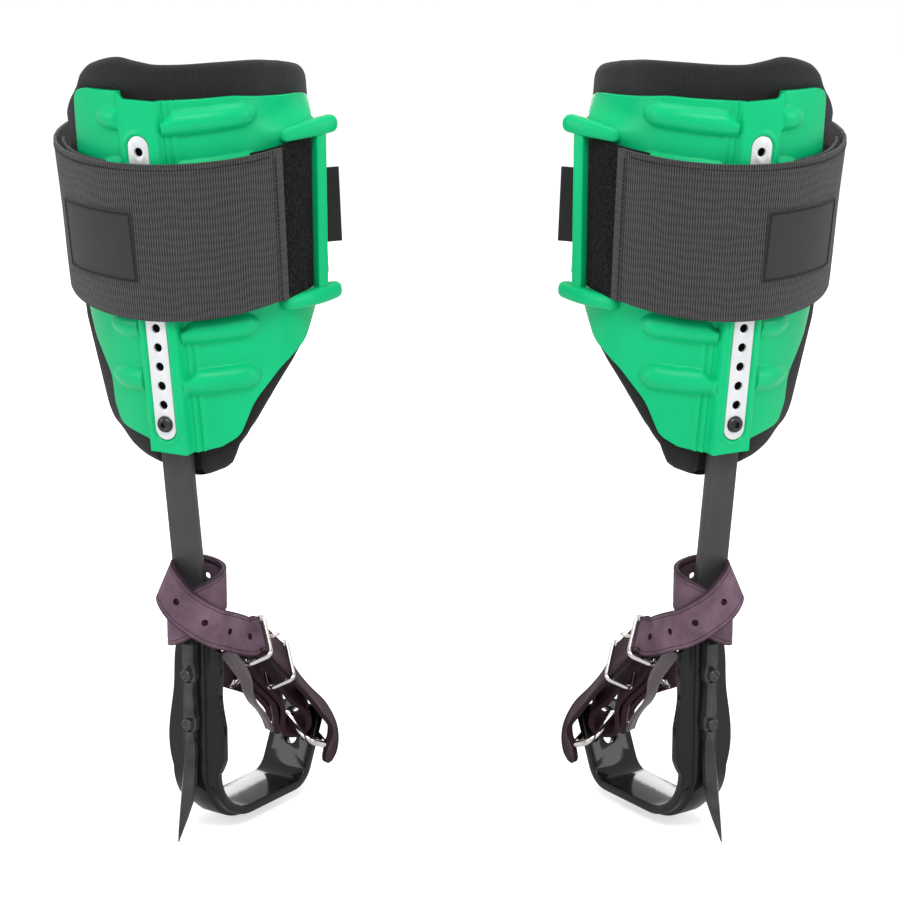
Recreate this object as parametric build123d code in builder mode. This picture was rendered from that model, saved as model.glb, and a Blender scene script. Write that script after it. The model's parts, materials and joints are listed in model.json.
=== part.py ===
from build123d import *
import os
from math import atan, cos, degrees, radians, sin, tan

os.makedirs("parts", exist_ok=True)

# Stance of the pair: the left spike's tread centre is the origin, the right spike is its mirror image
STANCE = 259.0
STIRRUP_YAW = 35.0
SHANK_YAW = 24.0
SHANK_LEAN = 5.1
SHANK_TILT = 0.9
CUFF_ORIGIN = (-30.2, 17.7, 388.6)
PAIR_PLANE = Plane.YZ.offset(STANCE / 2)

# Foot frame: x along the boot, y across it to the outer upright, z up from the tread
FOOT = Location((0, 0, 0), (0, 0, -STIRRUP_YAW))
# Cuff frame: x across the calf, y away from the shank side, z up the leaning calf axis
CUFF = Location(CUFF_ORIGIN, (0, -SHANK_LEAN, 0))

# Stirrup
STEEL = 6.0
TREAD_WIDTH = 36.0
PLATE_Y = -55.0
PLATE_X = 2.0
PLATE_TOP = 122.0
PLATE_TOP_WIDTH = 25.0
PLATE_BEND = 33.0
UPRIGHT_FOOT_Y = 34.0
UPRIGHT_LEAN = 24.0
UPRIGHT_TOP = 43.0
UPRIGHT_BEND = 16.0
UPRIGHT_CORNER = 9.0
RIB_WIDTH = 18.0
RIB_HEIGHT = 2.5
RIB_END = -8.0

# Gaff and its bolts
GAFF_X = 2.4
GAFF_WIDTH = 10.0
GAFF_DEPTH = 9.0
GAFF_TOP = 122.0
GAFF_HEEL = 58.0
GAFF_TIP = (0.0, -75.5, -13.0)
BOLT_HEIGHTS = (97.5, 64.5)
BOLT_SHAFT = 5.0
BOLT_HEAD = 9.0
BOLT_HEAD_HEIGHT = 4.0
BOLT_SEAT = 5.0
BLADE_BULGE_Z = 22.0

# Shank bar
SHANK_WIDTH = 20.0
SHANK_STEEL = 6.0
SHANK_CENTRE = (-22.6, -62.0)
SHANK_PIVOT = -125.0
SHANK_TOP = 60.0
SHANK_TWIST_START = -226.0

# Adjuster strip and its screws
STRIP_FRONT = 11.5
STRIP_STEEL = 2.0
STRIP_WIDTH = 14.0
STRIP_FOOT = -135.5
HOLE_PITCH = 12.2
HOLE_COUNT = 15
HOLE_END = 10.0
HOLE_SIZE = 5.6
SCREW_SHAFT = 5.0
SCREW_HEAD = 10.6
SCREW_HEAD_HEIGHT = 2.8
SCREW_HOLES = (0, 9)
CUFF_TRAVEL = 38.1
CLAMP_WIDTH = 12.0
CLAMP_STEEL = 3.5

# Cuff shell and pad
SHELL_RADIUS = 72.0
SHELL_WALL = 4.0
SHELL_TAPER = 0.02
RIB_RADIUS = 75.2
CONE_FOOT = -160.0
CONE_TOP = 100.0
CHANNEL_TOP_WIDTH = 21.0
CHANNEL_FOOT_WIDTH = 31.0
PAD_GAP = 1.4
PAD_INNER = 54.0
PAD_BACK = 10.0
PAD_FLARE = 83.0
PAD_FLARE_OUT = 7.0
PAD_FLARE_RISE = 22.0
PATCH_TAPE_BANDS = ((35.0, 60.0), (-75.0, -50.0))
PATCH_TAPE_START = 15.0
PATCH_TAPE_ARC = 50.0
FIT = 0.35

# Outline of the shell and of the pad, seen square on
SHELL_OUTLINE = (
    (-63, 83), (-33.5, 82.5), (-30.5, 77.5), (39, 73), (71, 65), (71, -68), (61, -90), (44, -102),
    (28, -119), (17, -139), (-14, -146.5), (-40, -141), (-58, -131), (-60.5, -102), (-69.5, -68), (-67, 0),
)
SHELL_ROUNDING = (8, 2, 2, 60, 8, 14, 16, 40, 40, 8, 14, 12, 9, 30, 40, 90)
PAD_OUTLINE = (
    (-82, 58), (-63, 87), (-36, 104), (-4, 95), (56, 91), (82, 74), (82, -70), (60, -93),
    (17, -143), (13, -160), (-14, -164), (-40, -157), (-66, -136), (-82, -60),
)
PAD_ROUNDING = (10, 24, 16, 30, 20, 10, 10, 20, 8, 6, 8, 20, 20, 20)
# Raised ribs: centre x, centre z, length and height of each slot
SHELL_RIBS = (
    (20, 61, 54, 15), (-43, 68, 20, 15), (20, 30, 54, 15), (-43, 36, 20, 15), (18, -3, 52, 15),
    (-44, 3, 20, 15), (16, -36, 48, 15), (-46, -30, 20, 15), (14, -69, 44, 15), (-47, -63, 20, 14),
    (12, -101, 42, 16), (-48, -97, 20, 14),
)

# Strap horns and bar
HORN_START = (51.4, -53.2)
HORN_ANGLES = (38.0, 47.0)
HORN_LENGTHS = (57.0, 55.0)
HORN_WIDTH = 10.0
HORN_HEIGHT = 11.0
HORN_LEVELS = (46.0, -63.5)
BAR_TOP = (84.0, -27.7)
BAR_FOOT = (79.0, -23.6)
BAR_ANGLE = 72.0
BAR_SIZE = 7.2

# Calf strap
STRAP_TOP = 55.0
STRAP_FOOT = -66.0
BAND = 2.2
# Edges of the strap: each is cut by a plane of this height at the calf axis, square to this direction
FLAP_TOP_EDGE = (44.9, (0.041, -0.085, 1))
FLAP_FOOT_EDGE = (-42.3, (0, -0.207, 1))
BACK_FOOT_EDGE = (-50.3, (0.094, 0, 1))
PANEL_TOP = 39.0
PANEL_FOOT = -57.0
HOOK_TAPE_TOP = 34.0
HOOK_TAPE_FOOT = -50.0
EDGE_STEP = 1.0
FLAP_RADIUS = 81.3
FLAP_START = -89.2
FLAP_END = 45.0
FLAP_HINGE = (-82.4, 0.0)
INNER_RADIUS = 76.2
PANEL_RADIUS = 76.3
PANEL_START = 33.0
PANEL_END = 82.0
HOOK_TAPE = 2.3
HEM_ARC = 4.0
HEM_EXTRA = 0.8
INNER_START = -88.0
INNER_ARC = 51.0
PATCH = 0.8
PATCH_START = -72.0
PATCH_ARC = 47.0
PATCH_FOOT = -31.0
PATCH_TOP = 13.0
BACK_DEPTH = 58.0
BACK_RIGHT = 86.0
TAG_POINT = (88.2, 20.0)
TAG_WIDTH = 6.0
TAG_FOOT = -40.0
TAG_HEIGHT = 48.0

# Ankle strap
LEATHER = 2.8
LEATHER_WIDTH = 25.0
LOOP_CENTRE = (0.0, -56.0)
WRAP_RADIUS = 15.4
WRAP_LEVEL = 136.0
WRAP_SLOPE = 0.7
BILLET_RADIUS = 18.5
BILLET_LEVEL = 145.0
BILLET_SLOPE = -0.5
BUCKLE_POINT = (24.0, -17.0, 113.0)
RUN_DIRECTION = (0.0, 0.715, -0.699)
WIDTH_DIRECTION = (0.80, -0.42, -0.43)
BUCKLE_WIRE = 3.4
BUCKLE_INNER = 28.0
KEEPER_WIRE = 3.0
KEEPER_INNER = 27.5
KEEPER_ALONG = 33.0
TONGUE_WIRE = 2.6
TAIL_START = -3.0
RING_WIRE = 4.5
RING_HOLE_X = -2.0
RING_HOLE_Z = 34.5
RING_HOLE = 9.2
SPARE_HOLE = 8.4
SPARE_HOLE_Z = 21.0
RING_TILT = 30.0
RING_LENGTH = 29.0
RING_INSIDE = -12.9
RING_OUTSIDE = 6.0
TURN_RADIUS = 6.5
FOLD_WIDTH = 18.0
FOLD_START = 9.0
FOLD_PARTING = 44.0
FOLD_LIFTS = (-4.4, -8.8)
TAIL_BEND = 96.0
TAIL_END = (140.0, -24.0)
TAB_INNER = 9.0
TAB_THICKNESS = 2.5
TAB_OUTLINE = ((-10, -19), (24, -19), (66, -27), (66, -37), (24, -31), (-10, -31))
BILLET_HOLE = (-48.0, 131.0)
BILLET_HOLE_SIZE = 4.0
BILLET_TWIST_Y = -37.0
BILLET_TWIST_Z = 126.0
LINER_WIDTH = 22.0
LINER_TOP = 124.0
LINER_END = (10.0, 61.0)
EYELET_POINT = (-4.0, -1.0, 72.0)
EYELET_SIZE = 8.0
LOOP_LOW = -12.0


def save_pair(piece, name, frame):
    """Place a left piece in the frame of the pair, mirror it and write both."""
    left = piece.part.moved(frame)
    left.label = "left_" + name
    export_step(left, "parts/" + left.label + ".step")
    right = mirror(left, about=PAIR_PLANE)
    right.label = "right_" + name
    export_step(right, "parts/" + right.label + ".step")


def radial_plane(angle):
    """Plane through the calf axis, with its x outwards at an angle from the front towards the horns."""
    turn = radians(angle)
    return Plane((0, 0, 0), x_dir=(sin(turn), -cos(turn), 0), z_dir=(-cos(turn), -sin(turn), 0))


def band_sketch(inner, thickness, foot, top):
    """Upright rectangle beside the calf axis, for a band that is revolved round it."""
    with Locations((inner + thickness / 2, (foot + top) / 2)):
        Rectangle(thickness, top - foot)


# Shank axes inside the cuff frame: x across the bar, y towards the calf, z up the bar
shank_frame = Location(SHANK_CENTRE + (SHANK_PIVOT,), (0, SHANK_TILT, 0)) * Location((0, 0, 0), (0, 0, -SHANK_YAW))
SHANK_PLANE = Plane(shank_frame * Location((0, 0, -SHANK_PIVOT)))
SHANK_Y = SHANK_PLANE.y_dir
STRIP_FACE = Plane(SHANK_PLANE.origin - SHANK_Y * STRIP_FRONT, x_dir=SHANK_PLANE.x_dir, z_dir=-SHANK_Y)
CUFF_IN_FOOT = CUFF.inverse() * FOOT
HOLE_HEIGHTS = [STRIP_FOOT + HOLE_END + HOLE_PITCH * i for i in range(HOLE_COUNT)]
SCREW_HEIGHTS = [HOLE_HEIGHTS[i] for i in SCREW_HOLES]
STRIP_TOP = HOLE_HEIGHTS[-1] + HOLE_END

# Ankle strap axes inside the foot frame
run = Vector(*RUN_DIRECTION).normalized()
across = Vector(*WIDTH_DIRECTION).normalized()
lift = across.cross(run)
STRAP_SIDE = Plane(BUCKLE_POINT, x_dir=run, z_dir=across)


def strap_cross(along):
    """Plane square to the ankle strap, with x across the strap and y away from the boot."""
    return Plane(Vector(*BUCKLE_POINT) + run * along, x_dir=across, z_dir=-run)


# Stirrup: one bent plate, cut to its outline, with a raised rib for the gaff
upright_rise = tan(radians(UPRIGHT_LEAN))
UPRIGHT_TOP_Y = UPRIGHT_FOOT_Y + (UPRIGHT_TOP + STEEL / 2) * upright_rise
UPRIGHT_FACE = Plane(
    (0, UPRIGHT_FOOT_Y + STEEL / 2 * upright_rise, 0),
    x_dir=(1, 0, 0),
    z_dir=(0, -cos(radians(UPRIGHT_LEAN)), sin(radians(UPRIGHT_LEAN))),
)
slant = 1 / cos(radians(UPRIGHT_LEAN))

with BuildPart() as stirrup_blank:
    with BuildSketch(Plane.XZ.offset(20)) as stirrup_front:
        with BuildLine() as wavy_edge:
            half = TREAD_WIDTH / 2
            top_half = PLATE_TOP_WIDTH / 2
            edge = Spline(
                (PLATE_X + top_half, PLATE_TOP + 1),
                (PLATE_X + 19, 94),
                (PLATE_X + 18.2, 84),
                (PLATE_X + 21.5, 62),
                (half, 30),
            )
            Line(edge @ 1, (half, -STEEL - 1))
            Line((half, -STEEL - 1), (-half, -STEEL - 1))
            Line((-half, -STEEL - 1), (-half, 30))
            other = Spline(
                (-half, 30),
                (PLATE_X - 21.5, 66),
                (PLATE_X - 18.2, 86),
                (PLATE_X - 17.5, 100),
                (PLATE_X - top_half, PLATE_TOP + 1),
            )
            Line(other @ 1, edge @ 0)
        make_face()
    extrude(amount=60)
    with Locations((0, 30, 25)):
        Box(TREAD_WIDTH, 100, 70)

with BuildPart() as stirrup:
    with BuildSketch(Plane.YZ) as stirrup_side:
        with BuildLine() as stirrup_path:
            FilletPolyline(
                (PLATE_Y, PLATE_TOP),
                (PLATE_Y, -STEEL / 2),
                (UPRIGHT_FOOT_Y, -STEEL / 2),
                (UPRIGHT_TOP_Y, UPRIGHT_TOP),
                radius=(PLATE_BEND, UPRIGHT_BEND),
            )
        trace(line_width=STEEL)
    extrude(amount=1.3 * TREAD_WIDTH / 2, both=True)
    add(stirrup_blank.part, mode=Mode.INTERSECT)
    # Raised rib that carries the gaff and runs round the bend under the tread
    with BuildSketch(Plane.YZ.offset(PLATE_X - RIB_WIDTH / 2)) as gaff_rib:
        with BuildLine():
            FilletPolyline(
                (PLATE_Y - RIB_HEIGHT / 2, PLATE_TOP),
                (PLATE_Y - RIB_HEIGHT / 2, -STEEL / 2 - RIB_HEIGHT / 2),
                (RIB_END, -STEEL / 2 - RIB_HEIGHT / 2),
                radius=PLATE_BEND + RIB_HEIGHT / 2,
            )
        trace(line_width=STEEL + RIB_HEIGHT)
    extrude(amount=RIB_WIDTH)
    # Ring hole and the spare hole below it, through the leaning upright
    with BuildSketch(UPRIGHT_FACE) as upright_holes:
        with Locations((RING_HOLE_X, RING_HOLE_Z * slant)):
            Circle(RING_HOLE / 2)
        with Locations((0, SPARE_HOLE_Z * slant)):
            Circle(SPARE_HOLE / 2)
    extrude(amount=2 * STEEL, both=True, mode=Mode.SUBTRACT)
    # Rounded top corners of the upright
    tops = stirrup.edges().filter_by_position(Axis.Z, UPRIGHT_TOP - 3, UPRIGHT_TOP + 3)
    corners = [e for e in tops if abs(e.center().X) > TREAD_WIDTH / 2 - 1 and e.length < 2 * STEEL]
    fillet(corners, radius=UPRIGHT_CORNER)
    # Tapped bolt holes
    with BuildSketch(Plane.XZ.offset(-PLATE_Y - STEEL)) as tapped:
        with Locations(*[(GAFF_X, h) for h in BOLT_HEIGHTS]):
            Circle(BOLT_SHAFT / 2 + 0.1)
    extrude(amount=2 * STEEL + RIB_HEIGHT, mode=Mode.SUBTRACT)
save_pair(stirrup, "stirrup", FOOT)

# Gaff: ridged shank with a flat back, then a faceted blade to the point
GAFF_BACK = PLATE_Y - STEEL / 2 - RIB_HEIGHT


def ridge_section(x, back, width, depth):
    """Flat-backed section with a central ridge, as a closed line."""
    Polyline(
        (x - width / 2, back),
        (x + width / 2, back),
        (x + width / 2, back - 0.55 * depth),
        (x, back - depth),
        (x - width / 2, back - 0.55 * depth),
        close=True,
    )


with BuildPart() as gaff:
    with BuildSketch(Plane.XY.offset(GAFF_HEEL)) as gaff_section:
        with BuildLine():
            ridge_section(GAFF_X, GAFF_BACK, GAFF_WIDTH, GAFF_DEPTH)
        make_face()
    extrude(amount=GAFF_TOP - GAFF_HEEL)
    for x, back, width, depth, height in (
        (GAFF_X, GAFF_BACK, GAFF_WIDTH, GAFF_DEPTH, GAFF_HEEL),
        (GAFF_X - 1.6, GAFF_BACK - 2.4, GAFF_WIDTH + 1.5, GAFF_DEPTH + 0.5, BLADE_BULGE_Z),
        (GAFF_TIP[0], GAFF_TIP[1], 0.8, 0.8, GAFF_TIP[2]),
    ):
        with BuildSketch(Plane.XY.offset(height)):
            with BuildLine():
                ridge_section(x, back, width, depth)
            make_face()
    loft(ruled=True)
    # Flat seats for the two bolt heads, and their holes
    with BuildSketch(Plane.XZ.offset(-GAFF_BACK + BOLT_SEAT)) as seats:
        with Locations(*[(GAFF_X, h) for h in BOLT_HEIGHTS]):
            Circle(BOLT_HEAD / 2 + 0.6)
    extrude(amount=GAFF_DEPTH, mode=Mode.SUBTRACT)
    with BuildSketch(Plane.XZ.offset(-GAFF_BACK)) as gaff_holes:
        with Locations(*[(GAFF_X, h) for h in BOLT_HEIGHTS]):
            Circle(BOLT_SHAFT / 2 + 0.1)
    extrude(amount=GAFF_DEPTH, mode=Mode.SUBTRACT)
    # Rounded top end
    crown = gaff.edges().filter_by_position(Axis.Z, GAFF_TOP - 0.1, GAFF_TOP + 0.1)
    chamfer(crown.sort_by(Axis.Y)[0:2], length=3)
save_pair(gaff, "gaff", FOOT)

with BuildPart() as gaff_bolts:
    with BuildSketch(Plane.XZ.offset(-GAFF_BACK + BOLT_SEAT)) as bolt_heads:
        with Locations(*[(GAFF_X, h) for h in BOLT_HEIGHTS]):
            Circle(BOLT_HEAD / 2)
    extrude(amount=BOLT_HEAD_HEIGHT)
    chamfer(gaff_bolts.faces().sort_by(Axis.Y)[0:2].edges(), length=0.8)
    with BuildSketch(Plane.XZ.offset(-GAFF_BACK + BOLT_SEAT)) as bolt_shafts:
        with Locations(*[(GAFF_X, h) for h in BOLT_HEIGHTS]):
            Circle(BOLT_SHAFT / 2)
    extrude(amount=-(BOLT_SEAT + RIB_HEIGHT + STEEL - 0.5))
save_pair(gaff_bolts, "gaff_bolts", FOOT)

# Shank: straight slotted bar, then a twist that turns it square to the stirrup plate
TWIST_PLANE = SHANK_PLANE.offset(SHANK_TWIST_START)
PLATE_TOP_PLANE = Plane(CUFF_IN_FOOT * Location((PLATE_X, PLATE_Y, PLATE_TOP)))

with BuildPart() as shank:
    with BuildSketch(TWIST_PLANE):
        Rectangle(SHANK_WIDTH, SHANK_STEEL)
    extrude(amount=SHANK_TOP - SHANK_TWIST_START)
    top_edges = shank.faces().sort_by(Axis.Z)[-1].edges().sort_by(SortBy.LENGTH)[0:2]
    chamfer(top_edges, length=5)
    with BuildSketch(PLATE_TOP_PLANE):
        Rectangle(PLATE_TOP_WIDTH, STEEL)
    with BuildSketch(TWIST_PLANE):
        Rectangle(SHANK_WIDTH, SHANK_STEEL)
    loft(ruled=True)
    with BuildSketch(STRIP_FACE) as adjusting_slots:
        for height in SCREW_HEIGHTS:
            with Locations((0, height + CUFF_TRAVEL / 2)):
                SlotCenterToCenter(CUFF_TRAVEL + 1, SCREW_SHAFT + 1.4, rotation=90)
    extrude(amount=-(STRIP_FRONT + SHANK_STEEL), mode=Mode.SUBTRACT)
save_pair(shank, "shank", CUFF)

def cone_sketch(radius, foot, top):
    """Half section of a solid cone round the calf axis with the shell's taper."""
    Polyline(
        (0, foot),
        (radius + SHELL_TAPER * foot, foot),
        (radius + SHELL_TAPER * top, top),
        (0, top),
        close=True,
    )


def outline_sketch(points, rounding):
    """Closed outline with its own rounding at every corner."""
    FilletPolyline(*points, radius=rounding, close=True)


def rib_outline(x, z, length, height):
    """Outline of a raised rib: pointed towards the channel, with cut corners at the far end."""
    away = length / 2 if x > 0 else -length / 2
    half = height / 2
    Polyline(
        (x - away, z),
        (x - 0.72 * away, z + half),
        (x + 0.8 * away, z + half),
        (x + away, z + 0.35 * half),
        (x + away, z - 0.35 * half),
        (x + 0.8 * away, z - half),
        (x - 0.72 * away, z - half),
        close=True,
    )


with BuildPart() as shell_ribs:
    with BuildSketch(Plane.XZ):
        with BuildLine():
            cone_sketch(RIB_RADIUS, CONE_FOOT, CONE_TOP)
        make_face()
    revolve(axis=Axis.Z)
    with BuildSketch(Plane.XZ):
        for x, z, length, height in SHELL_RIBS:
            with BuildLine():
                rib_outline(x, z, length, height)
            make_face()
    extrude(amount=90, mode=Mode.INTERSECT)

with BuildPart() as cuff_shell:
    with BuildSketch(Plane.XZ):
        with BuildLine():
            cone_sketch(SHELL_RADIUS, CONE_FOOT, CONE_TOP)
        make_face()
    revolve(axis=Axis.Z)
    add(shell_ribs.part)
    # Raised channel over the shank, with sloping shoulders
    with BuildSketch(SHANK_PLANE.offset(CONE_FOOT)) as channel:
        with BuildLine():
            Polyline(
                (-CHANNEL_FOOT_WIDTH / 2, 6),
                (-CHANNEL_FOOT_WIDTH / 2, -5),
                (-CHANNEL_TOP_WIDTH / 2, -STRIP_FRONT),
                (CHANNEL_TOP_WIDTH / 2, -STRIP_FRONT),
                (CHANNEL_FOOT_WIDTH / 2, -6),
                (CHANNEL_FOOT_WIDTH / 2, 6),
                close=True,
            )
        make_face()
    extrude(amount=CONE_TOP - CONE_FOOT)
    with BuildSketch(Plane.XZ):
        with BuildLine():
            cone_sketch(SHELL_RADIUS - SHELL_WALL, CONE_FOOT - 10, CONE_TOP + 10)
        make_face()
    revolve(axis=Axis.Z, mode=Mode.SUBTRACT)
    with BuildSketch(Plane.XZ.offset(-PAD_BACK)) as shell_outline:
        with BuildLine():
            outline_sketch(SHELL_OUTLINE, SHELL_ROUNDING)
        make_face()
    extrude(amount=110, mode=Mode.INTERSECT)
    # Way for the shank, seat for the strip and screw holes
    with BuildSketch(SHANK_PLANE.offset(-170)):
        with Locations((0, 10)):
            Rectangle(SHANK_WIDTH + 2 * FIT, 20 + SHANK_STEEL + 2 * FIT)
    extrude(amount=280, mode=Mode.SUBTRACT)
    with BuildSketch(STRIP_FACE.offset(-STRIP_STEEL)):
        with Locations((0, (STRIP_FOOT + STRIP_TOP) / 2)):
            SlotOverall(STRIP_TOP - STRIP_FOOT + 0.4, STRIP_WIDTH + 0.4, rotation=90)
    extrude(amount=STRIP_STEEL + 5, mode=Mode.SUBTRACT)
    with BuildSketch(STRIP_FACE):
        with Locations(*[(0, h) for h in SCREW_HEIGHTS]):
            Circle(HOLE_SIZE / 2)
    extrude(amount=-STRIP_FRONT, mode=Mode.SUBTRACT)
    # Two tapered horns that carry the bar
    for level, length, angle in zip(HORN_LEVELS, HORN_LENGTHS, HORN_ANGLES):
        turn = radians(angle)
        reach = length / 2 - 3
        middle = (HORN_START[0] + reach * cos(turn), HORN_START[1] + reach * sin(turn), level - HORN_HEIGHT / 2)
        with BuildSketch(Plane(middle, x_dir=(cos(turn), sin(turn), 0), z_dir=(0, 0, 1))):
            SlotOverall(length, HORN_WIDTH)
        extrude(amount=HORN_HEIGHT)
    with BuildSketch(Plane.XZ):
        with BuildLine():
            cone_sketch(SHELL_RADIUS - SHELL_WALL, CONE_FOOT - 10, CONE_TOP + 10)
        make_face()
    revolve(axis=Axis.Z, mode=Mode.SUBTRACT)
save_pair(cuff_shell, "cuff_shell", CUFF)

with BuildPart() as strap_bar:
    with BuildSketch(Plane.XY.offset(HORN_LEVELS[1] + HORN_HEIGHT / 2)):
        with Locations(BAR_FOOT):
            Rectangle(BAR_SIZE, BAR_SIZE, rotation=BAR_ANGLE)
    with BuildSketch(Plane.XY.offset(HORN_LEVELS[0] - HORN_HEIGHT / 2)):
        with Locations(BAR_TOP):
            Rectangle(BAR_SIZE, BAR_SIZE, rotation=BAR_ANGLE)
    loft(ruled=True)
save_pair(strap_bar, "strap_bar", CUFF)

with BuildPart() as adjuster_strip:
    with BuildSketch(STRIP_FACE):
        with Locations((0, (STRIP_FOOT + STRIP_TOP) / 2)):
            SlotOverall(STRIP_TOP - STRIP_FOOT, STRIP_WIDTH, rotation=90)
        with Locations(*[(0, h) for h in HOLE_HEIGHTS]):
            Circle(HOLE_SIZE / 2, mode=Mode.SUBTRACT)
    extrude(amount=-STRIP_STEEL)
save_pair(adjuster_strip, "adjuster_strip", CUFF)

CLAMP_BACK = SHANK_STEEL / 2 + 0.2 + CLAMP_STEEL
with BuildPart() as cuff_screws:
    with BuildSketch(STRIP_FACE):
        with Locations(*[(0, h) for h in SCREW_HEIGHTS]):
            Circle(SCREW_HEAD / 2)
    extrude(amount=SCREW_HEAD_HEIGHT)
    chamfer(cuff_screws.faces().sort_by(Axis.Y)[0:2].edges(), length=1.2)
    with BuildSketch(STRIP_FACE):
        with Locations(*[(0, h) for h in SCREW_HEIGHTS]):
            Circle(SCREW_SHAFT / 2)
    extrude(amount=-(STRIP_FRONT + CLAMP_BACK))
save_pair(cuff_screws, "cuff_screws", CUFF)

with BuildPart() as clamp_plate:
    with BuildSketch(STRIP_FACE.offset(-STRIP_FRONT - SHANK_STEEL / 2 - 0.2)):
        with Locations((0, sum(SCREW_HEIGHTS) / 2)):
            SlotOverall(SCREW_HEIGHTS[1] - SCREW_HEIGHTS[0] + 2 * CLAMP_WIDTH, CLAMP_WIDTH, rotation=90)
        with Locations(*[(0, h) for h in SCREW_HEIGHTS]):
            Circle(SCREW_SHAFT / 2 + 0.05, mode=Mode.SUBTRACT)
    extrude(amount=-CLAMP_STEEL)
save_pair(clamp_plate, "clamp_plate", CUFF)

PAD_OUTER = SHELL_RADIUS - SHELL_WALL - PAD_GAP
with BuildPart() as calf_pad:
    with BuildSketch(Plane.XZ):
        with BuildLine():
            Polyline(
                (PAD_INNER - SHELL_TAPER * 180, -180),
                (PAD_OUTER - SHELL_TAPER * 180, -180),
                (PAD_OUTER + SHELL_TAPER * PAD_FLARE, PAD_FLARE),
                (PAD_OUTER + SHELL_TAPER * PAD_FLARE + PAD_FLARE_OUT, PAD_FLARE + PAD_FLARE_RISE),
                (PAD_INNER + SHELL_TAPER * PAD_FLARE + PAD_FLARE_OUT, PAD_FLARE + PAD_FLARE_RISE),
                (PAD_INNER + SHELL_TAPER * PAD_FLARE, PAD_FLARE),
                close=True,
            )
        make_face()
    revolve(axis=Axis.Z)
    with BuildSketch(Plane.XZ.offset(-PAD_BACK)) as pad_outline:
        with BuildLine():
            outline_sketch(PAD_OUTLINE, PAD_ROUNDING)
        make_face()
    extrude(amount=110, mode=Mode.INTERSECT)
    # Groove for the shank, deeper along the clamp plate
    with BuildSketch(SHANK_PLANE.offset(-190)):
        with Locations((0, -8)):
            Rectangle(SHANK_WIDTH + 1, 16 + SHANK_STEEL + 1)
        Rectangle(CLAMP_WIDTH + 1, 2 * CLAMP_BACK + 1)
    extrude(amount=320, mode=Mode.SUBTRACT)
save_pair(calf_pad, "calf_pad", CUFF)

with BuildPart() as pad_patches:
    with BuildSketch(radial_plane(PATCH_TAPE_START)):
        for foot, top in PATCH_TAPE_BANDS:
            with BuildLine():
                Polyline(
                    (PAD_OUTER + SHELL_TAPER * foot, foot),
                    (PAD_OUTER + SHELL_TAPER * foot + PAD_GAP - 0.2, foot),
                    (PAD_OUTER + SHELL_TAPER * top + PAD_GAP - 0.2, top),
                    (PAD_OUTER + SHELL_TAPER * top, top),
                    close=True,
                )
            make_face()
    revolve(axis=Axis.Z, revolution_arc=PATCH_TAPE_ARC)
save_pair(pad_patches, "pad_patches", CUFF)

# Calf strap
def cut_edge(edge, keep, step=0.0):
    """Cut a band along one edge plane, moved up by a step."""
    height, square = edge
    split(bisect_by=Plane((0, 0, height + step), z_dir=square), keep=keep)


with BuildPart() as strap_flap:
    with BuildSketch(radial_plane(FLAP_START)):
        band_sketch(FLAP_RADIUS, BAND, STRAP_FOOT, STRAP_TOP)
    revolve(axis=Axis.Z, revolution_arc=FLAP_END - FLAP_START)
    with BuildSketch(radial_plane(FLAP_END - HEM_ARC)):
        band_sketch(FLAP_RADIUS, BAND + HEM_EXTRA, STRAP_FOOT, STRAP_TOP)
    revolve(axis=Axis.Z, revolution_arc=HEM_ARC)
    cut_edge(FLAP_TOP_EDGE, Keep.BOTTOM)
    cut_edge(FLAP_FOOT_EDGE, Keep.TOP)
save_pair(strap_flap, "strap_flap", CUFF)

with BuildPart() as strap_hook_tape:
    with BuildSketch(radial_plane(PANEL_START + 1)):
        band_sketch(FLAP_RADIUS - HOOK_TAPE, HOOK_TAPE, HOOK_TAPE_FOOT, HOOK_TAPE_TOP)
    revolve(axis=Axis.Z, revolution_arc=FLAP_END - PANEL_START - 2)
save_pair(strap_hook_tape, "strap_hook_tape", CUFF)

with BuildPart() as strap_patch:
    with BuildSketch(radial_plane(PATCH_START)):
        band_sketch(FLAP_RADIUS + BAND, PATCH, PATCH_FOOT, PATCH_TOP)
    revolve(axis=Axis.Z, revolution_arc=PATCH_ARC)
save_pair(strap_patch, "strap_patch", CUFF)

with BuildPart() as strap_inner:
    with BuildSketch(radial_plane(INNER_START)):
        band_sketch(INNER_RADIUS, BAND, STRAP_FOOT, STRAP_TOP)
    revolve(axis=Axis.Z, revolution_arc=INNER_ARC)
    cut_edge(FLAP_TOP_EDGE, Keep.BOTTOM, -EDGE_STEP)
    cut_edge(FLAP_FOOT_EDGE, Keep.TOP, EDGE_STEP)
save_pair(strap_inner, "strap_inner", CUFF)

with BuildPart() as strap_panel:
    with BuildSketch(radial_plane(PANEL_START)):
        band_sketch(PANEL_RADIUS, BAND, PANEL_FOOT, PANEL_TOP)
    revolve(axis=Axis.Z, revolution_arc=PANEL_END - PANEL_START)
save_pair(strap_panel, "strap_panel", CUFF)

with BuildPart() as strap_back:
    with BuildSketch(Plane.XY.offset(STRAP_FOOT)):
        with BuildLine() as back_path:
            turn = radians(PANEL_END)
            middle = PANEL_RADIUS + BAND / 2
            panel_end = Vector(middle * sin(turn), -middle * cos(turn))
            FilletPolyline(
                (FLAP_HINGE[0], 2.2),
                (FLAP_HINGE[0], BACK_DEPTH),
                (BACK_RIGHT, BACK_DEPTH),
                (BACK_RIGHT + 1.5, 2),
                panel_end + Vector(cos(turn), sin(turn)) * 1.5,
                radius=(50, 50, 6),
            )
        trace(line_width=BAND)
    extrude(amount=STRAP_TOP - STRAP_FOOT)
    cut_edge(FLAP_TOP_EDGE, Keep.BOTTOM, -EDGE_STEP)
    cut_edge(BACK_FOOT_EDGE, Keep.TOP)
save_pair(strap_back, "strap_back", CUFF)

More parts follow.
